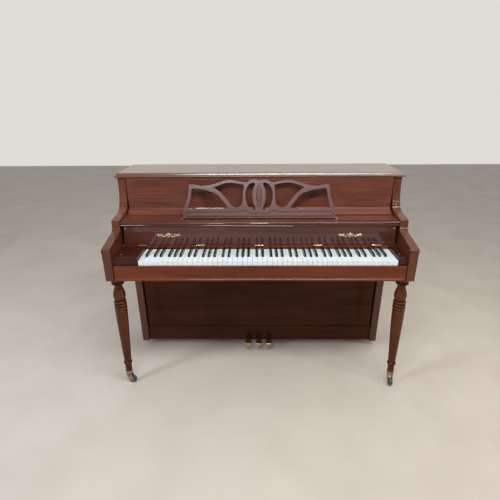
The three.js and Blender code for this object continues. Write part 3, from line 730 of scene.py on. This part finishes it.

# %% [markdown]
# ## Fallboard
#
# The fallboard is one board with a moulded lip along its upper edge. It is a softened copy too, and its two
# rubber buttons, which land on the cheek blocks when the board is shut, are rounded the same way. At the
# CAD's lean the mirrored view passes over the keys, so the lacquer's normal is tipped forward until they show
# in it. That is a trick of the finish only: the angle was chosen and the mesh keeps its lean.

# %% Fallboard
def hollow_shine(material, tip):
    """Tips the lacquer's normal forward by some degrees; the mesh is left as it is."""
    tree = material.node_tree
    facing = node(tree, "ShaderNodeNewGeometry").outputs["Normal"]
    local = node(tree, "ShaderNodeVectorTransform", {"Vector": facing}, vector_type="NORMAL",
                 convert_from="WORLD", convert_to="OBJECT").outputs["Vector"]
    lowered = node(tree, "ShaderNodeVectorMath", {0: local}, operation="ADD")
    lowered.inputs[1].default_value = (0.0, 0.0, -math.tan(math.radians(tip)))
    world = node(tree, "ShaderNodeVectorTransform", {"Vector": lowered.outputs["Vector"]},
                 vector_type="NORMAL", convert_from="OBJECT", convert_to="WORLD").outputs["Vector"]
    even = node(tree, "ShaderNodeVectorMath", {0: world}, operation="NORMALIZE").outputs["Vector"]
    tree.links.new(even, tree.nodes["Principled BSDF"].inputs["Coat Normal"])


# Painted shade: the fallboard's base is a darker copy of the case mahogany.
FALL_WOOD = wood("mahogany_fallboard", (0.024, 0.006, 0.005), (0.052, 0.014, 0.010), (0.10, 0.030, 0.022),
                 roughness=0.34, coat=1.0, figure=0.5, coat_roughness=0.06, shine=0.1)
HOLLOW_TIP = 11.0
hollow_shine(FALL_WOOD, HOLLOW_TIP)
board_with_lip = soften(from_cad("fallboard", "fallboard_with_lip"), 1.4, 3)
seat(board_with_lip, "fallboard", "mahogany", FALL_WOOD, "fallboard")
for side in ("left", "right"):
    button = soften(from_cad("fallboard_bumper_" + side, "rubber_button_" + side), 1.6, 3)
    seat(button, "fallboard", "grey_rubber", GREY_RUBBER, "fallboard_bumper_" + side)
print("fallboard width:", round(board_with_lip.dimensions.x, 3))

# %% [markdown]
# ## White keys
#
# A white key is a wide head and a narrow tail that passes between the black keys. There are only a few
# patterns, by whether a black key stands on the left, the right or both. Each key starts as a cube the size
# of the head. Its back is cut where the tail's sides will be, and the middle of the back face is pulled out
# into the tail. A fine bevel then rounds the plastic.

# %% White keys
KEY_SPLIT = 0.9 * MM
KEY_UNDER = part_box("white_keys_bass")[0].z
BLACK_WIDTH = 11.5 * MM
NOTCH_DEPTH = 48.5 * MM
SIDE_AIR = 0.75 * MM
TAIL_END = 149.8 * MM
MIDDLE_C = 23
OCTAVE = "abcdefg"
BLACK_SHIFT = {"a": 0.17, "c": -0.11, "d": 0.11, "f": -0.17, "g": 0.0}


def black_middle(white):
    """Middle of the black key between this white key and the next, or None."""
    letter = OCTAVE[white % 7] if 0 <= white < WHITE_KEYS - 1 else "none"
    if letter not in BLACK_SHIFT:
        return None
    return KEYS_LEFT + (white + 1 + BLACK_SHIFT[letter]) * WHITE_PITCH


def faces_where(obj, test):
    """Selects only the faces whose centre and normal pass a test."""
    bpy.ops.mesh.select_mode(type="FACE")
    bpy.ops.mesh.select_all(action="DESELECT")
    leave_edit()
    for face in obj.data.polygons:
        face.select = test(face.center, face.normal)
    bpy.ops.object.mode_set(mode="EDIT")
    bpy.ops.mesh.select_mode(type="FACE")


def white_key(white):
    """One white key, notched for its black neighbours."""
    left = KEYS_LEFT + white * WHITE_PITCH + KEY_SPLIT / 2
    right = left + WHITE_PITCH - KEY_SPLIT
    before, after = black_middle(white - 1), black_middle(white)
    reach = BLACK_WIDTH / 2 + SIDE_AIR
    tail_left = left if before is None else before + reach
    tail_right = right if after is None else after - reach
    head_back = KEY_FRONT + NOTCH_DEPTH
    key = block(f"white_key_{white + 1:02d}", (left, KEY_FRONT, KEY_UNDER), (right, head_back, KEY_TOP))
    edit(key)
    for x in {tail_left, tail_right} - {left, right}:
        bpy.ops.mesh.select_all(action="SELECT")
        bpy.ops.mesh.bisect(plane_co=(x, 0, 0), plane_no=(1, 0, 0))
    faces_where(key, lambda centre, normal: normal.y > 0.9 and tail_left < centre.x < tail_right)
    bpy.ops.mesh.extrude_region_move(TRANSFORM_OT_translate={"value": (0, TAIL_END - NOTCH_DEPTH, 0)})
    leave_edit()
    return soften(key, 0.8, 2)


def key_body(white, colour):
    """The CAD body and node that a key belongs to."""
    if white < MIDDLE_C:
        return f"{colour}_bass", f"{colour}_keys_bass"
    if white >= MIDDLE_C + 7:
        return f"{colour}_treble", f"{colour}_keys_treble"
    letter = OCTAVE[white % 7] + ("_sharp4" if colour == "black" else "4")
    return letter, "key_" + letter


for white in range(WHITE_KEYS):
    body, cad_node = key_body(white, "white")
    seat(white_key(white), body, "white_key", WHITE_PLASTIC, cad_node)
print("white keys:", WHITE_KEYS)

# %% [markdown]
# ## Black keys
#
# A black key is a bar with sloping sides and a raked front. The first one is shaped from a cube: its top is
# narrowed, and the top's front edge is pushed back. The other thirty-five are copies, each with its own mesh,
# set down at their own places.

# %% Black keys
def black_key():
    """A black key with its middle at X = 0."""
    front, back = KEY_FRONT + 50 * MM, KEY_FRONT + 152.4 * MM
    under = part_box("black_keys_bass")[0].z
    key = block("black_key", (-BLACK_WIDTH / 2, front, under), (BLACK_WIDTH / 2, back, BLACK_TOP))
    edit(key)
    bpy.ops.mesh.bisect(plane_co=(0, 0, KEY_TOP - 1 * MM), plane_no=(0, 0, 1))
    faces_where(key, lambda centre, normal: normal.z > 0.9)
    bpy.ops.transform.resize(value=(0.84, 1, 1))
    leave_edit()
    for vertex in key.data.vertices:
        vertex.select = vertex.co.z > BLACK_TOP - 1 * MM and vertex.co.y < front + 1 * MM
    bpy.ops.object.mode_set(mode="EDIT")
    bpy.ops.mesh.select_mode(type="VERT")
    bpy.ops.transform.translate(value=(0, 7 * MM, 0))
    leave_edit()
    return soften(key, 1.5, 3)


pattern = black_key()
black_keys = 0
for white in range(WHITE_KEYS):
    middle = black_middle(white)
    if middle is None:
        continue
    black_keys += 1
    key = twin(pattern, f"black_key_{black_keys:02d}", (middle, 0, 0))
    body, cad_node = key_body(white, "black")
    seat(key, body, "black_key", BLACK_PLASTIC, cad_node)
bpy.data.objects.remove(pattern)
print("black keys:", black_keys)

# %% [markdown]
# ## Turned legs
#
# The front legs are turned: a cap, a vase, three rings, a long taper and a foot ring. The profile is spun
# about an upright axis, and then the mesh is tipped outwards about the leg's top by a degree and a half, as
# the piano's legs are set. Each profile point is a radius and a height above the floor, from the foot up.

# %% Turned legs
LEG_X = 701 * MM
LEG_Y = at(45)
LEG_TOP_MM = 652.5
LEG_SPLAY = math.radians(1.6)
LEG_PROFILE = [
    (0, 68), (16.4, 68), (16.4, 68), (16.4, 90), (16.8, 106), (17.0, 127), (17.0, 130), (21.5, 131.5),
    (22.8, 137), (21.5, 142.5), (18.0, 144), (18.0, 147), (19.2, 157), (22, 225), (25, 300), (28.2, 380),
    (29.8, 440), (30, 466), (29.6, 471), (25.6, 473), (25.6, 475), (30.4, 476), (31.6, 482), (30.4, 488),
    (24.2, 489), (24.2, 492), (29.6, 493), (30.8, 500), (29.6, 506), (23.8, 507), (23.8, 510), (29.4, 511),
    (30.6, 516), (29.4, 521), (23.2, 522), (23.2, 526), (28, 535), (30.2, 550), (28.8, 566), (25, 580),
    (20.2, 593), (19.0, 602), (20.6, 611), (26.4, 615.5), (26.4, 617.5), (30.6, 618), (31.4, 621.5),
    (30.6, 625), (26.4, 625.5), (26.4, 628), (30, 631), (30, 634), (30, LEG_TOP_MM), (30, LEG_TOP_MM),
    (0, LEG_TOP_MM),
]
FERRULE_PROFILE = [(16.6, 66.5), (17.6, 66.5), (18.2, 68), (18.2, 80), (17.4, 84), (16.6, 84), (16.6, 66.5)]
# Heights of the turned grooves whose colour is darkened as painted shade.
SHADED_GROOVE_HEIGHTS = (0.1295, 0.1455, 0.4745, 0.4905, 0.5085, 0.524, 0.6165, 0.627)
RUBBED_HEIGHTS = (0.352, 0.262)


def leg_wood():
    """Upright mahogany with painted shade in each turned hollow and two faint rubbed rings on the taper."""
    material = wood("mahogany_leg", (0.025, 0.005, 0.001), (0.072, 0.015, 0.003), (0.15, 0.040, 0.012),
                    grain="Z", coat=0.3, coat_roughness=0.05, shine=0.05)
    tree = material.node_tree
    shader = tree.nodes["Principled BSDF"]
    place = tree.nodes["Texture Coordinate"].outputs["Object"]
    height = node(tree, "ShaderNodeSeparateXYZ", {"Vector": place}).outputs["Z"]
    rubbed, leg_groove_shade = None, None
    # Painted shade: the colour goes to near black in a narrow band at each groove height, where the hollows
    # fall in shade.
    for groove in SHADED_GROOVE_HEIGHTS:
        near = maths(tree, "ABSOLUTE", maths(tree, "SUBTRACT", height, groove), 0.0)
        mask = remap(tree, near, 0.0015, 0.0045, 0.85, 0.0)
        leg_groove_shade = mask if leg_groove_shade is None else maths(tree, "MAXIMUM", leg_groove_shade, mask)
    for ring in RUBBED_HEIGHTS:
        near = maths(tree, "ABSOLUTE", maths(tree, "SUBTRACT", height, ring), 0.0)
        mask = remap(tree, near, 0.0, 0.0035, 1.0, 0.0)
        rubbed = mask if rubbed is None else maths(tree, "MAXIMUM", rubbed, mask)
    patchy = remap(tree, stretched_noise(tree, place, 26.0, 3.0), 0.45, 0.65)
    rubbed = maths(tree, "MULTIPLY", maths(tree, "MULTIPLY", rubbed, patchy), 0.6)
    pale = node(tree, "ShaderNodeRGB")
    pale.outputs[0].default_value = rgba(0.26, 0.12, 0.07)
    colour = shader.inputs["Base Color"].links[0].from_socket
    colour = blend_colour(tree, rubbed, colour, pale.outputs[0])
    # The near-black colour of the painted groove shade.
    deep = node(tree, "ShaderNodeRGB")
    deep.outputs[0].default_value = rgba(0.008, 0.003, 0.002)
    tree.links.new(blend_colour(tree, leg_groove_shade, colour, deep.outputs[0]), shader.inputs["Base Color"])
    return material


LEG_WOOD = leg_wood()
for side, word in ((-1, "left"), (1, "right")):
    leg = turning(f"turned_leg_{word}", LEG_PROFILE, rounds=1)
    ferrule = turning(f"leg_ferrule_{word}", FERRULE_PROFILE, rounds=1)
    for part in (leg, ferrule):
        part.data.transform(Matrix.Translation((0, 0, -LEG_TOP_MM * MM)))
        part.data.transform(Matrix.Rotation(-side * LEG_SPLAY, 4, "Y"))
        part.data.transform(Matrix.Translation((side * LEG_X, LEG_Y, LEG_TOP_MM * MM)))
    seat(leg, "case", "mahogany", LEG_WOOD, f"front_leg_{word}")
    seat(ferrule, "case", "brass", OLD_BRASS)
    print("leg", word, "faces:", len(leg.data.polygons))

# %% [markdown]
# ## Casters
#
# Each front leg stands on a small swivel caster: a brass fork with a dark wheel set behind the pivot. The
# forks are softened copies. Every wheel is a turning, laid on its side, with a rounded tread and a hub.

# %% Casters
def wheel(name, radius_mm, width_mm, centre, axis):
    """A wheel with a crowned tread, a recessed web and a hub, spun about Z and laid along an axis."""
    half = width_mm / 2
    profile = [
        (0, -half), (4, -half), (5, -half + 0.6), (5, -half + 2), (radius_mm * 0.66, -half + 2.4),
        (radius_mm * 0.72, -half + 0.4), (radius_mm * 0.9, -half), (radius_mm, -half * 0.55),
        (radius_mm, half * 0.55), (radius_mm * 0.9, half), (radius_mm * 0.72, half - 0.4),
        (radius_mm * 0.66, half - 2.4), (5, half - 2), (5, half - 0.6), (4, half), (0, half),
    ]
    made = turning(name, profile, 40, 1)
    turn = Matrix.Rotation(math.pi / 2, 4, "X" if axis == "Y" else "Y")
    made.data.transform(Matrix.Translation(centre) @ turn)
    return made


def middle_of(cad_node):
    """The middle of a CAD node's box."""
    low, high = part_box(cad_node)
    return (low + high) / 2


for word, axis in (("left", "Y"), ("right", "X")):
    fork = soften(from_cad(f"front_caster_fork_{word}", f"caster_fork_{word}"), 0.8)
    seat(fork, f"front_fork_{word}", "brass", OLD_BRASS, f"front_caster_fork_{word}")
    hub = middle_of(f"front_caster_wheel_{word}")
    tyre = wheel(f"caster_wheel_{word}", 21, 17, hub, axis)
    seat(tyre, f"front_wheel_{word}", "grey_rubber", DARK_RUBBER, f"front_caster_wheel_{word}")
    reach = Vector((0, 12 * MM, 0)) if axis == "Y" else Vector((12 * MM, 0, 0))
    pin = wire(f"caster_pin_{word}", [hub - reach, hub + reach], 2.6)
    seat(pin, f"front_fork_{word}", "steel", STEEL)
    rear = soften(from_cad(f"rear_caster_bracket_{word}", f"rear_bracket_{word}"), 0.8)
    seat(rear, "case", "steel", STEEL, f"rear_caster_bracket_{word}")
    hub = middle_of(f"rear_caster_wheel_{word}")
    tyre = wheel(f"rear_wheel_tyre_{word}", 25, 22, hub, "X")
    seat(tyre, f"rear_wheel_{word}", "grey_rubber", DARK_RUBBER, f"rear_caster_wheel_{word}")
    pin = wire(f"rear_pin_{word}", [hub - Vector((16 * MM, 0, 0)), hub + Vector((16 * MM, 0, 0))], 3.0)
    seat(pin, "case", "steel", STEEL)
    print("casters", word, "front wheel middle:", [round(value, 3) for value in middle_of(
        f"front_caster_wheel_{word}")])

# %% [markdown]
# ## Music desk
#
# The desk is a pierced board that leans back on the shelf. Its own plane is easier to think in: `on_desk`
# turns a place along the desk, up the desk and out of its face into a point of the room. The board is a
# softened copy with a generous round on every edge.

# %% Music desk
DESK_FOOT = Vector((0, at(203), 903.3 * MM))
DESK_LEAN = math.radians(27)
DESK_FACE = 7.0


def on_desk(along, up, out=DESK_FACE):
    """A point in millimetres on the desk: along it, up it, and out of its middle plane."""
    climb = Vector((0, math.sin(DESK_LEAN), math.cos(DESK_LEAN)))
    outward = Vector((0, -math.cos(DESK_LEAN), math.sin(DESK_LEAN)))
    return DESK_FOOT + Vector((along * MM, 0, 0)) + climb * up * MM + outward * out * MM


desk = from_cad("music_desk", "pierced_desk")
soften(desk, 3.0, 3, 50.0)
print("desk faces:", len(desk.data.polygons))

# %% [markdown]
# The face is engraved with a fine line: a long border on the lower rail that rises over the feet of the
# rings, and an oval inside the centre oval. Each line is a closed wire sunk halfway into the face, and a
# boolean takes it out of the board.

# %% Engraving
END_UP = 20
END_ALONG = 362
END_RADIUS = 11


def rail_border():
    """The engraved line round the lower rail, rising beside the middle."""
    half = [(0, 27.5), (14, 24), (24, 21.5), (34, 21.5), (46, 24), (56, 29), (64, 35), (72, 39), (80, 36),
            (90, 32), (102, 31)]
    top = [tuple(point)[:2] for point in eased([(along, up, 0) for along, up in half], 1)]
    turns = [step * math.pi / 8 for step in range(9)]
    end = [(END_ALONG + END_RADIUS * math.sin(turn), END_UP + END_RADIUS * math.cos(turn)) for turn in turns]
    right = top + end
    left = [(-along, up) for along, up in reversed(right) if along > 0.01]
    return right + left


def oval(centre_up, half_width, half_height, steps=40):
    """An upright oval on the desk's middle line."""
    turns = [step * math.tau / steps for step in range(steps)]
    return [(half_width * math.sin(turn), centre_up + half_height * math.cos(turn)) for turn in turns]


def engrave(board, outline, radius_mm, name):
    """Takes a fine groove along a closed outline out of the board's face."""
    cutter = wire(name, [on_desk(along, up) for along, up in outline], radius_mm, closed=True, roundness=1)
    run_modifier(board, "BOOLEAN", operation="DIFFERENCE", object=cutter, solver="MANIFOLD")
    bpy.data.objects.remove(cutter)


OVAL_UP = 114
desk_lines = [
    ("border", rail_border(), 2.2),
    ("oval", oval(OVAL_UP, 12, 54), 2.0),
    ("heart", oval(OVAL_UP, 5.5, 33), 1.6),
]
for label, outline, radius in desk_lines:
    engrave(desk, outline, radius, f"{label}_cutter")
shade(desk, 40)
seat(desk, "music_desk", "desk_mahogany", DESK_WOOD, "music_desk")
print("desk faces after engraving:", len(desk.data.polygons))

# %% [markdown]
# An engraved line reads dark because its walls are in shade. A thin dark wire laid in each groove, just under
# the face, paints that shade in. The two small brass angles that the desk tips on are softened copies.

# %% Painted shade in the grooves
# Painted shade: each groove gets a thin dark wire just under the face.
shade_wires = []
for label, outline, radius in desk_lines:
    sunk = [on_desk(along, up, DESK_FACE - 0.8 * radius) for along, up in outline]
    shade_wires.append(wire(f"{label}_stain", sunk, radius * 0.85, closed=True, roundness=0))
print("shaded lines:", len(shade_wires))
seat(merge(shade_wires, "painted_groove_shade"), "music_desk", "desk_mahogany", SHADE_WOOD)

for side in ("left", "right"):
    bracket = soften(from_cad(f"desk_bracket_{side}", f"desk_angle_{side}"), 0.5)
    seat(bracket, "case", "brass", BRASS, f"desk_bracket_{side}")

# %% [markdown]
# ## Hinges
#
# A butt hinge shows its barrel: five knuckles, taken in turn by the rail's leaf and the board's leaf. The
# fixed knuckles ride on the case and the others turn with the fallboard.

# %% Fallboard hinges
HINGE_AXIS = Vector((0, at(150), 777 * MM))
KNUCKLE = 9.0


def knuckle(name, x, axis_point, radius_mm, length_mm):
    """One rounded knuckle of a hinge."""
    place = (x, axis_point.y, axis_point.z)
    bpy.ops.mesh.primitive_cylinder_add(vertices=20, radius=radius_mm * MM, depth=length_mm * MM,
                                        location=place, rotation=(0, math.pi / 2, 0))
    made = bpy.context.object
    made.name = name
    settle(made)
    return soften(made, 0.4, 2)


for number in range(1, 6):
    middle_x = middle_of(f"fallboard_hinge_{number}").x
    low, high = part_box(f"fallboard_hinge_{number}")
    fixed, moving = [], []
    for step in range(5):
        x = middle_x + (step - 2) * KNUCKLE * MM
        part = knuckle(f"knuckle_{number}_{step}", x, HINGE_AXIS, 3.0, KNUCKLE - 0.5)
        (moving if step % 2 else fixed).append(part)
    leaf = block(f"leaf_{number}", (low.x, at(151), 775.6 * MM), (high.x, at(166), 776.6 * MM))
    fixed.append(soften(leaf, 0.3, 1))
    seat(merge(fixed, f"rail_hinge_{number}"), "case", "brass", BRASS, f"fallboard_hinge_{number}")
    seat(merge(moving, f"board_hinge_{number}"), "fallboard", "brass", BRASS)
print("hinge axis:", [round(value, 4) for value in HINGE_AXIS])

# %% [markdown]
# The lid turns on one long hinge behind the cabinet. Its barrel is cut into knuckles by a row of short
# cylinders, modelled once and copied.

# %% Lid hinge
low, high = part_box("lid_hinge")
LID_AXIS = Vector((0, at(600.2), 1087.2 * MM))
leaf = soften(block("long_leaf", (low.x, at(595.4), 1065 * MM), (high.x, at(597.6), 1086.6 * MM)), 0.4, 1)
first = knuckle("long_knuckle", 0, LID_AXIS, 2.9, 28.0)
LONG_PITCH = 30 * MM
LONG_KNUCKLES = 46
row = [twin(first, f"long_knuckle_{step}", ((step - (LONG_KNUCKLES - 1) / 2) * LONG_PITCH, 0, 0))
       for step in range(LONG_KNUCKLES)]
bpy.data.objects.remove(first)
seat(merge([leaf] + row, "lid_hinge_barrel"), "case", "brass", OLD_BRASS, "lid_hinge")
print("lid hinge knuckles:", LONG_KNUCKLES)

# %% [markdown]
# ## Strings and hammers
#
# Behind the upper panel each string runs down from its tuning pin, and a felt hammer waits in front of it.
# They come into view when the lid is up. One pin, one string and one hammer are made, and the array modifier
# repeats each along the piano. The wound bass strings are thicker and copper coloured. There is a hammer for
# each of the eighty-eight keys, and two or three strings for most notes.

# %% Strings and hammers
PLATE_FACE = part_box("string_plate")[0].y
STRING_AHEAD = 17
STRING_FOOT = 262
PINS_IN_ROW = 74
BASS_IN_ROW = 20
PIN_PITCH = 17.4
FIRST_PIN = -640
ROW_SHIFT = 5.8
HAMMERS = 88
HAMMER_PITCH = 14.6
FIRST_HAMMER = -635
HAMMER_WIDTH = 9
RAIL_END = 655 * MM


def row_of(piece, count, pitch_mm):
    """Repeats a piece along the piano and applies the repeat."""
    run_modifier(piece, "ARRAY", count=count, use_relative_offset=False, use_constant_offset=True,
                 constant_offset_displace=(pitch_mm * MM, 0, 0))


def rod(name, place_mm, radius_mm, length_mm, upright, sides=6):
    """A plain rod at x, a distance in front of the plate, and a height: upright, or lying front to back."""
    x, ahead, up = place_mm
    bpy.ops.mesh.primitive_cylinder_add(vertices=sides, radius=radius_mm * MM, depth=length_mm * MM,
                                        location=(x * MM, PLATE_FACE - ahead * MM, up * MM),
                                        rotation=(0 if upright else math.pi / 2, 0, 0))
    made = bpy.context.object
    made.name = name
    settle(made)
    return made


def string(name, x, pin_up, radius_mm, count):
    """A row of strings from under their pins down to the bridge."""
    made = rod(name, (x, STRING_AHEAD, (pin_up + STRING_FOOT) / 2), radius_mm, pin_up - STRING_FOOT, True)
    row_of(made, count, PIN_PITCH)
    return made


pins, steel_strings, copper_strings = [], [], []
for level, up in enumerate((1002, 1020, 1038)):
    first = FIRST_PIN + level * ROW_SHIFT
    pin = rod(f"tuning_pin_{level}", (first, 12, up), 3.4, 24, False, sides=8)
    row_of(pin, PINS_IN_ROW, PIN_PITCH)
    pins.append(pin)
    beside = first + 3.4
    copper_strings.append(string(f"bass_string_{level}", beside, up, 1.3, BASS_IN_ROW))
    treble_start = beside + BASS_IN_ROW * PIN_PITCH
    steel_strings.append(string(f"treble_string_{level}", treble_start, up, 0.6, PINS_IN_ROW - BASS_IN_ROW))
print("pins:", len(pins) * PINS_IN_ROW, "hammers:", HAMMERS)
seat(merge(pins, "tuning_pins"), "case", "steel", STEEL)
seat(merge(copper_strings, "bass_strings"), "case", "brass", COPPER)
seat(merge(steel_strings, "treble_strings"), "case", "steel", STEEL)

near = ((FIRST_HAMMER - HAMMER_WIDTH / 2) * MM, PLATE_FACE - 88 * MM, 898 * MM)
far = ((FIRST_HAMMER + HAMMER_WIDTH / 2) * MM, PLATE_FACE - 62 * MM, 924 * MM)
head = soften(block("hammer_heads", near, far), 3.0)
row_of(head, HAMMERS, HAMMER_PITCH)
seat(head, "case", "spruce", FELT)
shank = rod("hammer_shanks", (FIRST_HAMMER, 75, 850), 2.6, 100, True)
row_of(shank, HAMMERS, HAMMER_PITCH)
seat(shank, "case", "spruce", SPRUCE)
RAILS = {
    "action_rail": (95, 60, 786, 802),
    "hammer_rest_rail": (104, 94, 868, 890),
    "string_bridge": (18, 0.5, 250, 268),
}
for name, (front, back, under, top) in RAILS.items():
    low = (-RAIL_END, PLATE_FACE - front * MM, under * MM)
    high = (RAIL_END, PLATE_FACE - back * MM, top * MM)
    seat(soften(block(name, low, high), 1.5), "case", "spruce", SPRUCE)

# %% [markdown]
# ## Pedals
#
# Three cast brass pedals stand out of the toe board. Their outline comes from the CAD model, and the casting
# is given full round edges, as feet would wear them.

# %% Pedals
for name in ("soft_pedal", "middle_pedal", "damper_pedal"):
    seat(soften(from_cad(name, name + "_casting"), 3.2, 4, 50), name, "brass", BRASS, name)
lift_rod = soften(from_cad("damper_rod", "damper_lift_rod"), 0.6)
seat(lift_rod, "damper_rod", "inner_wood", BARE_WOOD, "damper_rod")
print("pedal pitch:", round(middle_of("damper_pedal").x - middle_of("middle_pedal").x, 4))

# %% [markdown]
# ## Gilt scrolls
#
# The fallboard carries a small gilt ornament on each side. This one is the lesson's own: a pointed rosette
# between mirrored pairs of scrolls, with an open diamond at each end. Each line is a fine wire laid on the
# face, so it catches the light as a raised transfer does.

# %% Gilt scrolls
FALL_LEAN = math.radians(8)


def on_fallboard(along, up, out=0.0):
    """A point in millimetres on the fallboard's face: along it, up from the hinge, out of the face."""
    climb = Vector((0, math.sin(FALL_LEAN), math.cos(FALL_LEAN)))
    outward = Vector((0, -math.cos(FALL_LEAN), math.sin(FALL_LEAN)))
    return HINGE_AXIS + climb * up * MM + outward * (out - 1.0) * MM + Vector((along * MM, 0, 0))


def spiral(centre, start_radius, end_radius, start_turn, turns, steps=14):
    """A flat spiral of (along, up) points."""
    points = []
    for step in range(steps + 1):
        share = step / steps
        radius = start_radius + (end_radius - start_radius) * share
        angle = start_turn + turns * math.tau * share
        points.append((centre[0] + radius * math.cos(angle), centre[1] + radius * math.sin(angle)))
    return points


def scroll_lines():
    """The ornament's right half: lines of (along, up) points round (0, 0), each with a thickness."""
    return [
        ([(0, 12), (5, 6), (9, 0), (5, -6), (0, -12)], 0.95),
        ([(0, 6), (4, 4), (5.5, 0), (4, -4), (0, -6)], 1.2),
        ([(9, 0), (13, 2.5), (15, 7), (12, 9.5)], 0.8),
        (spiral((20, -1.5), 1.2, 5.6, 0.0, 1.0) + [(30, 3), (33, 8), (30, 10)], 0.7),
        (spiral((33, -1.0), 5.4, 1.2, math.pi / 2, -1.1), 0.7),
        ([(9, 0), (14, -7), (24, -8.5), (33, -7), (41, -1)], 0.6),
        ([(38, 0), (45, 0)], 1.7),
        ([(45, 0), (52, 7.5), (59.5, 0), (52, -7.5), (45, 0)], 1.0),
        ([(50, 0), (52, 2), (54, 0), (52, -2), (50, 0)], 0.5),
    ]


def ornament(name, centre_x_mm, centre_up):
    """One gilt ornament, built from mirrored lines and joined."""
    parts = []
    for mirror in (-1, 1):
        for index, (line, radius) in enumerate(scroll_lines()):
            eased_line = eased([(along * mirror, up, 0) for along, up in line], 1)
            points = [on_fallboard(centre_x_mm + p.x, centre_up + p.y, 0.15) for p in eased_line]
            parts.append(wire(f"{name}_{mirror}_{index}", points, radius, roundness=0))
    seat(merge(parts, name), "fallboard", "brass", GILT)


SCROLL_ALONG = 455
SCROLL_UP = 53
ornament("gilt_scroll_left", -SCROLL_ALONG, SCROLL_UP)
ornament("gilt_scroll_right", SCROLL_ALONG, SCROLL_UP)
print("lines in each scroll:", 2 * len(scroll_lines()))

# %% [markdown]
# ## Screws on the cheek blocks
#
# Each cheek block is held from above by one domed screw. The head is a shallow turning, thickened into a
# shell and slotted by a boolean.

# %% Cheek block screws
def domed_screw(name, place, radius_mm=3.6):
    """A domed screw head with a slot across it."""
    dome = [(radius_mm, -0.4), (radius_mm, 0.3), (radius_mm * 0.8, 1.2), (radius_mm * 0.3, 1.7), (0, 1.8)]
    head = turning(name, dome, 24, 1)
    cutter = block("slot_cutter", (-0.005, -0.0004, 0.0009), (0.005, 0.0004, 0.003))
    run_modifier(head, "SOLIDIFY", thickness=0.0003, offset=-1.0)
    run_modifier(head, "BOOLEAN", operation="DIFFERENCE", object=cutter, solver="EXACT")
    bpy.data.objects.remove(cutter)
    head.data.transform(Matrix.Translation(place))
    return head


BLOCK_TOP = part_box("key_block_left")[1].z
SCREW_DEPTH = 41
for word, x in (("left", -0.6625), ("right", 0.6655)):
    seat(domed_screw(f"block_screw_{word}", (x, at(SCREW_DEPTH), BLOCK_TOP)), "case", "steel", STEEL)

print("cheek block tops at Z", round(BLOCK_TOP, 4))
